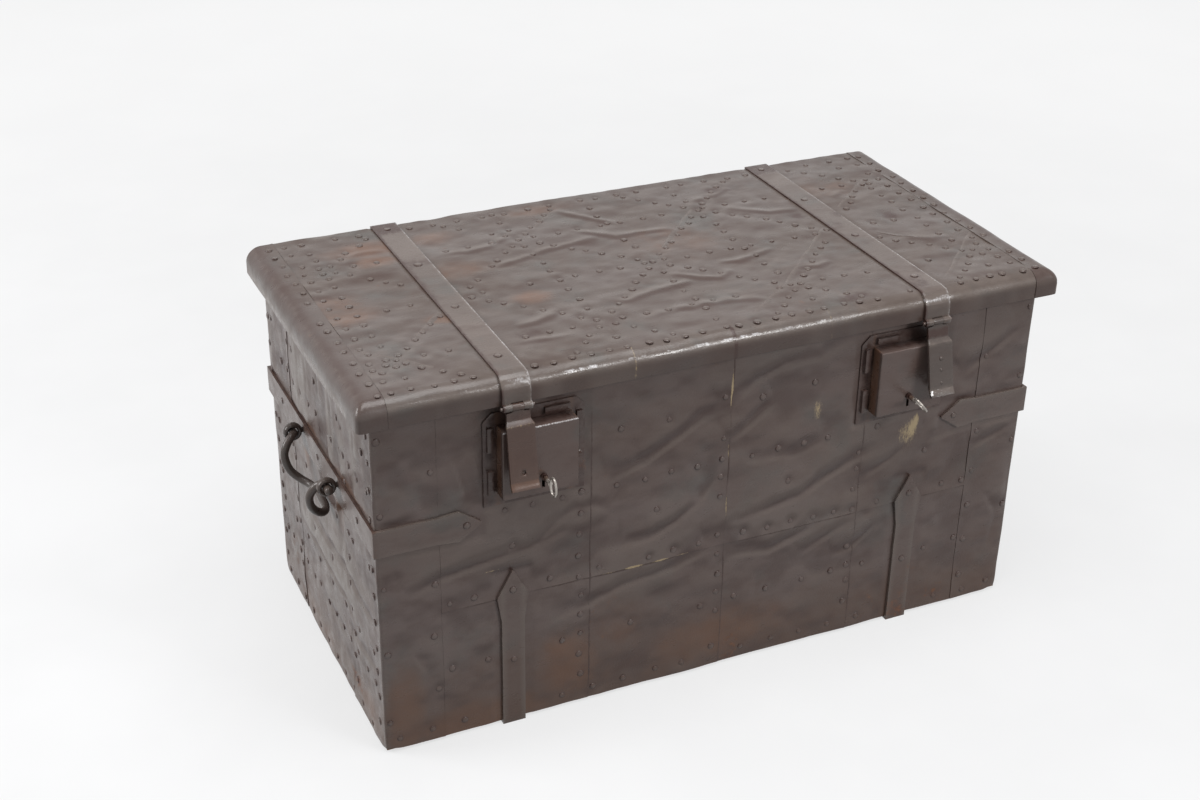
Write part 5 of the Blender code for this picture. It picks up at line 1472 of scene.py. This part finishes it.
def rod_mesh(name, path, radius, sides):
    """A round rod swept along a path, with domed ends and a little hammered unevenness."""
    ways = [(path[min(i + 1, len(path) - 1)] - path[max(i - 1, 0)]).normalized() for i in range(len(path))]
    dome = [(math.cos(a), math.sin(a)) for a in (math.radians(75), math.radians(45), math.radians(18))]
    rings = [(path[0] - ways[0] * radius * rise * 0.6, ways[0], radius * share) for share, rise in dome]
    rings += [(spot, way, radius) for spot, way in zip(path, ways)]
    rings += [(path[-1] + ways[-1] * radius * rise * 0.6, ways[-1], radius * share) for share, rise in reversed(dome)]
    verts = []
    aside = ways[0].orthogonal().normalized()
    for spot, way, size in rings:
        aside = (aside - way * aside.dot(way)).normalized()
        other = way.cross(aside)
        for side in range(sides):
            turn = math.tau * side / sides
            out = aside * math.cos(turn) + other * math.sin(turn)
            uneven = 1.0 + 0.05 * noise.noise((spot + out * size) * 70.0)
            verts.append(spot + out * size * min(uneven, 1.02))
    faces = []
    for ring in range(len(rings) - 1):
        for side in range(sides):
            after = (side + 1) % sides
            low = ring * sides
            faces.append((low + side, low + after, low + sides + after, low + sides + side))
    faces.append(list(reversed(range(sides))))
    faces.append(list(range(len(rings) * sides - sides, len(rings) * sides)))
    mesh = bpy.data.meshes.new(name)
    mesh.from_pydata(verts, [], faces)
    mesh.shade_smooth()
    return mesh


handle_iron = iron_finish("handle_iron_finish", HANDLE_PAINT, HANDLE_FADED, 0.06, False, 0.04, 0.35)
for side, word in ((-1, "left"), (1, "right")):
    front_low, front_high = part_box(f"handle_eye_{word}_front")
    back_low, back_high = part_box(f"handle_eye_{word}_back")
    axis_z = (front_low.z + front_high.z) / 2
    middle_y = (front_low.y + back_high.y) / 2
    outer = front_low.x if side < 0 else front_high.x
    axis_x = outer - side * (front_high.z - front_low.z) / 2
    arm = [Vector((axis_x + side * out, middle_y + inward - HALF_EYE_SPACING, axis_z - down)) for out, down, inward in BAIL_ARM]
    other_arm = [Vector((p.x, 2 * middle_y - p.y, p.z)) for p in reversed(arm[:-1])]
    mesh = rod_mesh(f"bail_{word}", curve_through([*arm, *other_arm], 6), BAIL_RADIUS, BAIL_SIDES)
    place_piece(f"bail_{word}", mesh, handle_iron, f"{word}_handle", (f"handle_{word}",))
    for place in ("front", "back"):
        node = f"handle_eye_{word}_{place}"
        forged_copy(node, node + "_forged", 0.0005, 0.0003, 0.020, handle_iron, "chest", 21.0)


# The studio
# A pale plain floor that runs out to a white surround, a broad soft light overhead, a small one
# from the front and a weak one from the left, and a camera where the photograph was taken.
FLOOR_REACH = 14.0
FLOOR_COLOR = (0.21, 0.212, 0.216, 1.0)
FLOOR_COLOR_PALE = (0.23, 0.232, 0.236, 1.0)
FLOOR_GLOW_NEAR = 0.66
FLOOR_GLOW_FAR = 0.80
SURROUND = (0.93, 0.93, 0.94, 1.0)
SURROUND_LIGHT = 0.30
CAMERA_PLACE = Vector((-1.00819, -1.99240, 1.53416))
CAMERA_AZIMUTH = math.radians(-24.934)
CAMERA_ELEVATION = math.radians(28.577)
CAMERA_ROLL = math.radians(0.898)
CAMERA_LENS = 53.77
LIGHTS = (
    ("overhead", (-0.05, -0.50, 2.9), (0.0, -0.2, 0.3), 2.2, 1.6, 62.0),
    ("front_box", (1.10, -2.30, 1.80), (0.0, -0.2, 0.5), 0.8, 0.28, 24.0),
    ("left_box", (-2.50, 0.80, 1.50), (-0.4, 0.0, 0.3), 1.1, 1.1, 42.0),
)

floor_mesh = bpy.data.meshes.new("floor")
reach = FLOOR_REACH
floor_mesh.from_pydata(
    [(-reach, -reach, 0.0), (reach, -reach, 0.0), (reach, reach, 0.0), (-reach, reach, 0.0)], [], [(0, 1, 2, 3)]
)
floor = bpy.data.objects.new("floor", floor_mesh)
bpy.context.scene.collection.objects.link(floor)
floor_finish, tree, shader = new_finish("floor_paper")
floor_place = put(tree, "TexCoord").outputs["Object"]
grain = cloudy(tree, floor_place, 3.0, 3.0)
tone = blended(tree, eased(tree, grain, 0.3, 0.7), FLOOR_COLOR, FLOOR_COLOR_PALE)
tree.links.new(tone, shader.inputs["Base Color"])
rays = put(tree, "LightPath").outputs
seen = reckon(tree, "MAXIMUM", rays["Is Camera Ray"], rays["Is Glossy Ray"])
seen = reckon(tree, "MAXIMUM", seen, rays["Is Transmission Ray"])
distance = put(tree, "VectorMath", {0: floor_place}, operation="LENGTH").outputs["Value"]
glow = eased(tree, distance, 0.7, 3.2, FLOOR_GLOW_NEAR, FLOOR_GLOW_FAR)
tree.links.new(reckon(tree, "MULTIPLY", seen, glow), shader.inputs["Emission Strength"])
shader.inputs["Emission Color"].default_value = (1.0, 1.0, 1.0, 1.0)
shader.inputs["Roughness"].default_value = 0.9
shader.inputs["Specular IOR Level"].default_value = 0.1
floor_mesh.materials.append(floor_finish)

world = bpy.data.worlds.new("surround")
bpy.context.scene.world = world
world.use_nodes = True
tree = world.node_tree
backdrop = tree.nodes["Background"]
backdrop.inputs["Color"].default_value = SURROUND
rays = put(tree, "LightPath").outputs
seen = reckon(tree, "MAXIMUM", rays["Is Camera Ray"], rays["Is Glossy Ray"])
seen = reckon(tree, "MAXIMUM", seen, rays["Is Transmission Ray"])
tree.links.new(eased(tree, seen, 0.0, 1.0, SURROUND_LIGHT, 1.0), backdrop.inputs["Strength"])

for name, place, aim, width, depth, power in LIGHTS:
    lamp = bpy.data.lights.new(name, "AREA")
    lamp.shape = "RECTANGLE"
    lamp.size = width
    lamp.size_y = depth
    lamp.energy = power
    holder = bpy.data.objects.new(name, lamp)
    holder.location = place
    holder.rotation_euler = (Vector(aim) - Vector(place)).to_track_quat("-Z", "Y").to_euler()
    bpy.context.scene.collection.objects.link(holder)

camera_data = bpy.data.cameras.new("camera")
camera_data.sensor_width = 36.0
camera_data.lens = CAMERA_LENS
camera_data.clip_end = 60.0
camera = bpy.data.objects.new("camera", camera_data)
bpy.context.scene.collection.objects.link(camera)
away = Vector((
    math.sin(CAMERA_AZIMUTH) * math.cos(CAMERA_ELEVATION),
    -math.cos(CAMERA_AZIMUTH) * math.cos(CAMERA_ELEVATION),
    math.sin(CAMERA_ELEVATION),
))
level = Vector((math.cos(CAMERA_AZIMUTH), math.sin(CAMERA_AZIMUTH), 0.0))
upward = away.cross(level)
across = level * math.cos(CAMERA_ROLL) + upward * math.sin(CAMERA_ROLL)
upward = away.cross(across)
turned = Matrix((across, upward, away)).transposed().to_4x4()
turned.translation = CAMERA_PLACE
camera.matrix_world = turned
bpy.context.scene.camera = camera
bpy.context.scene.view_settings.view_transform = "Standard"
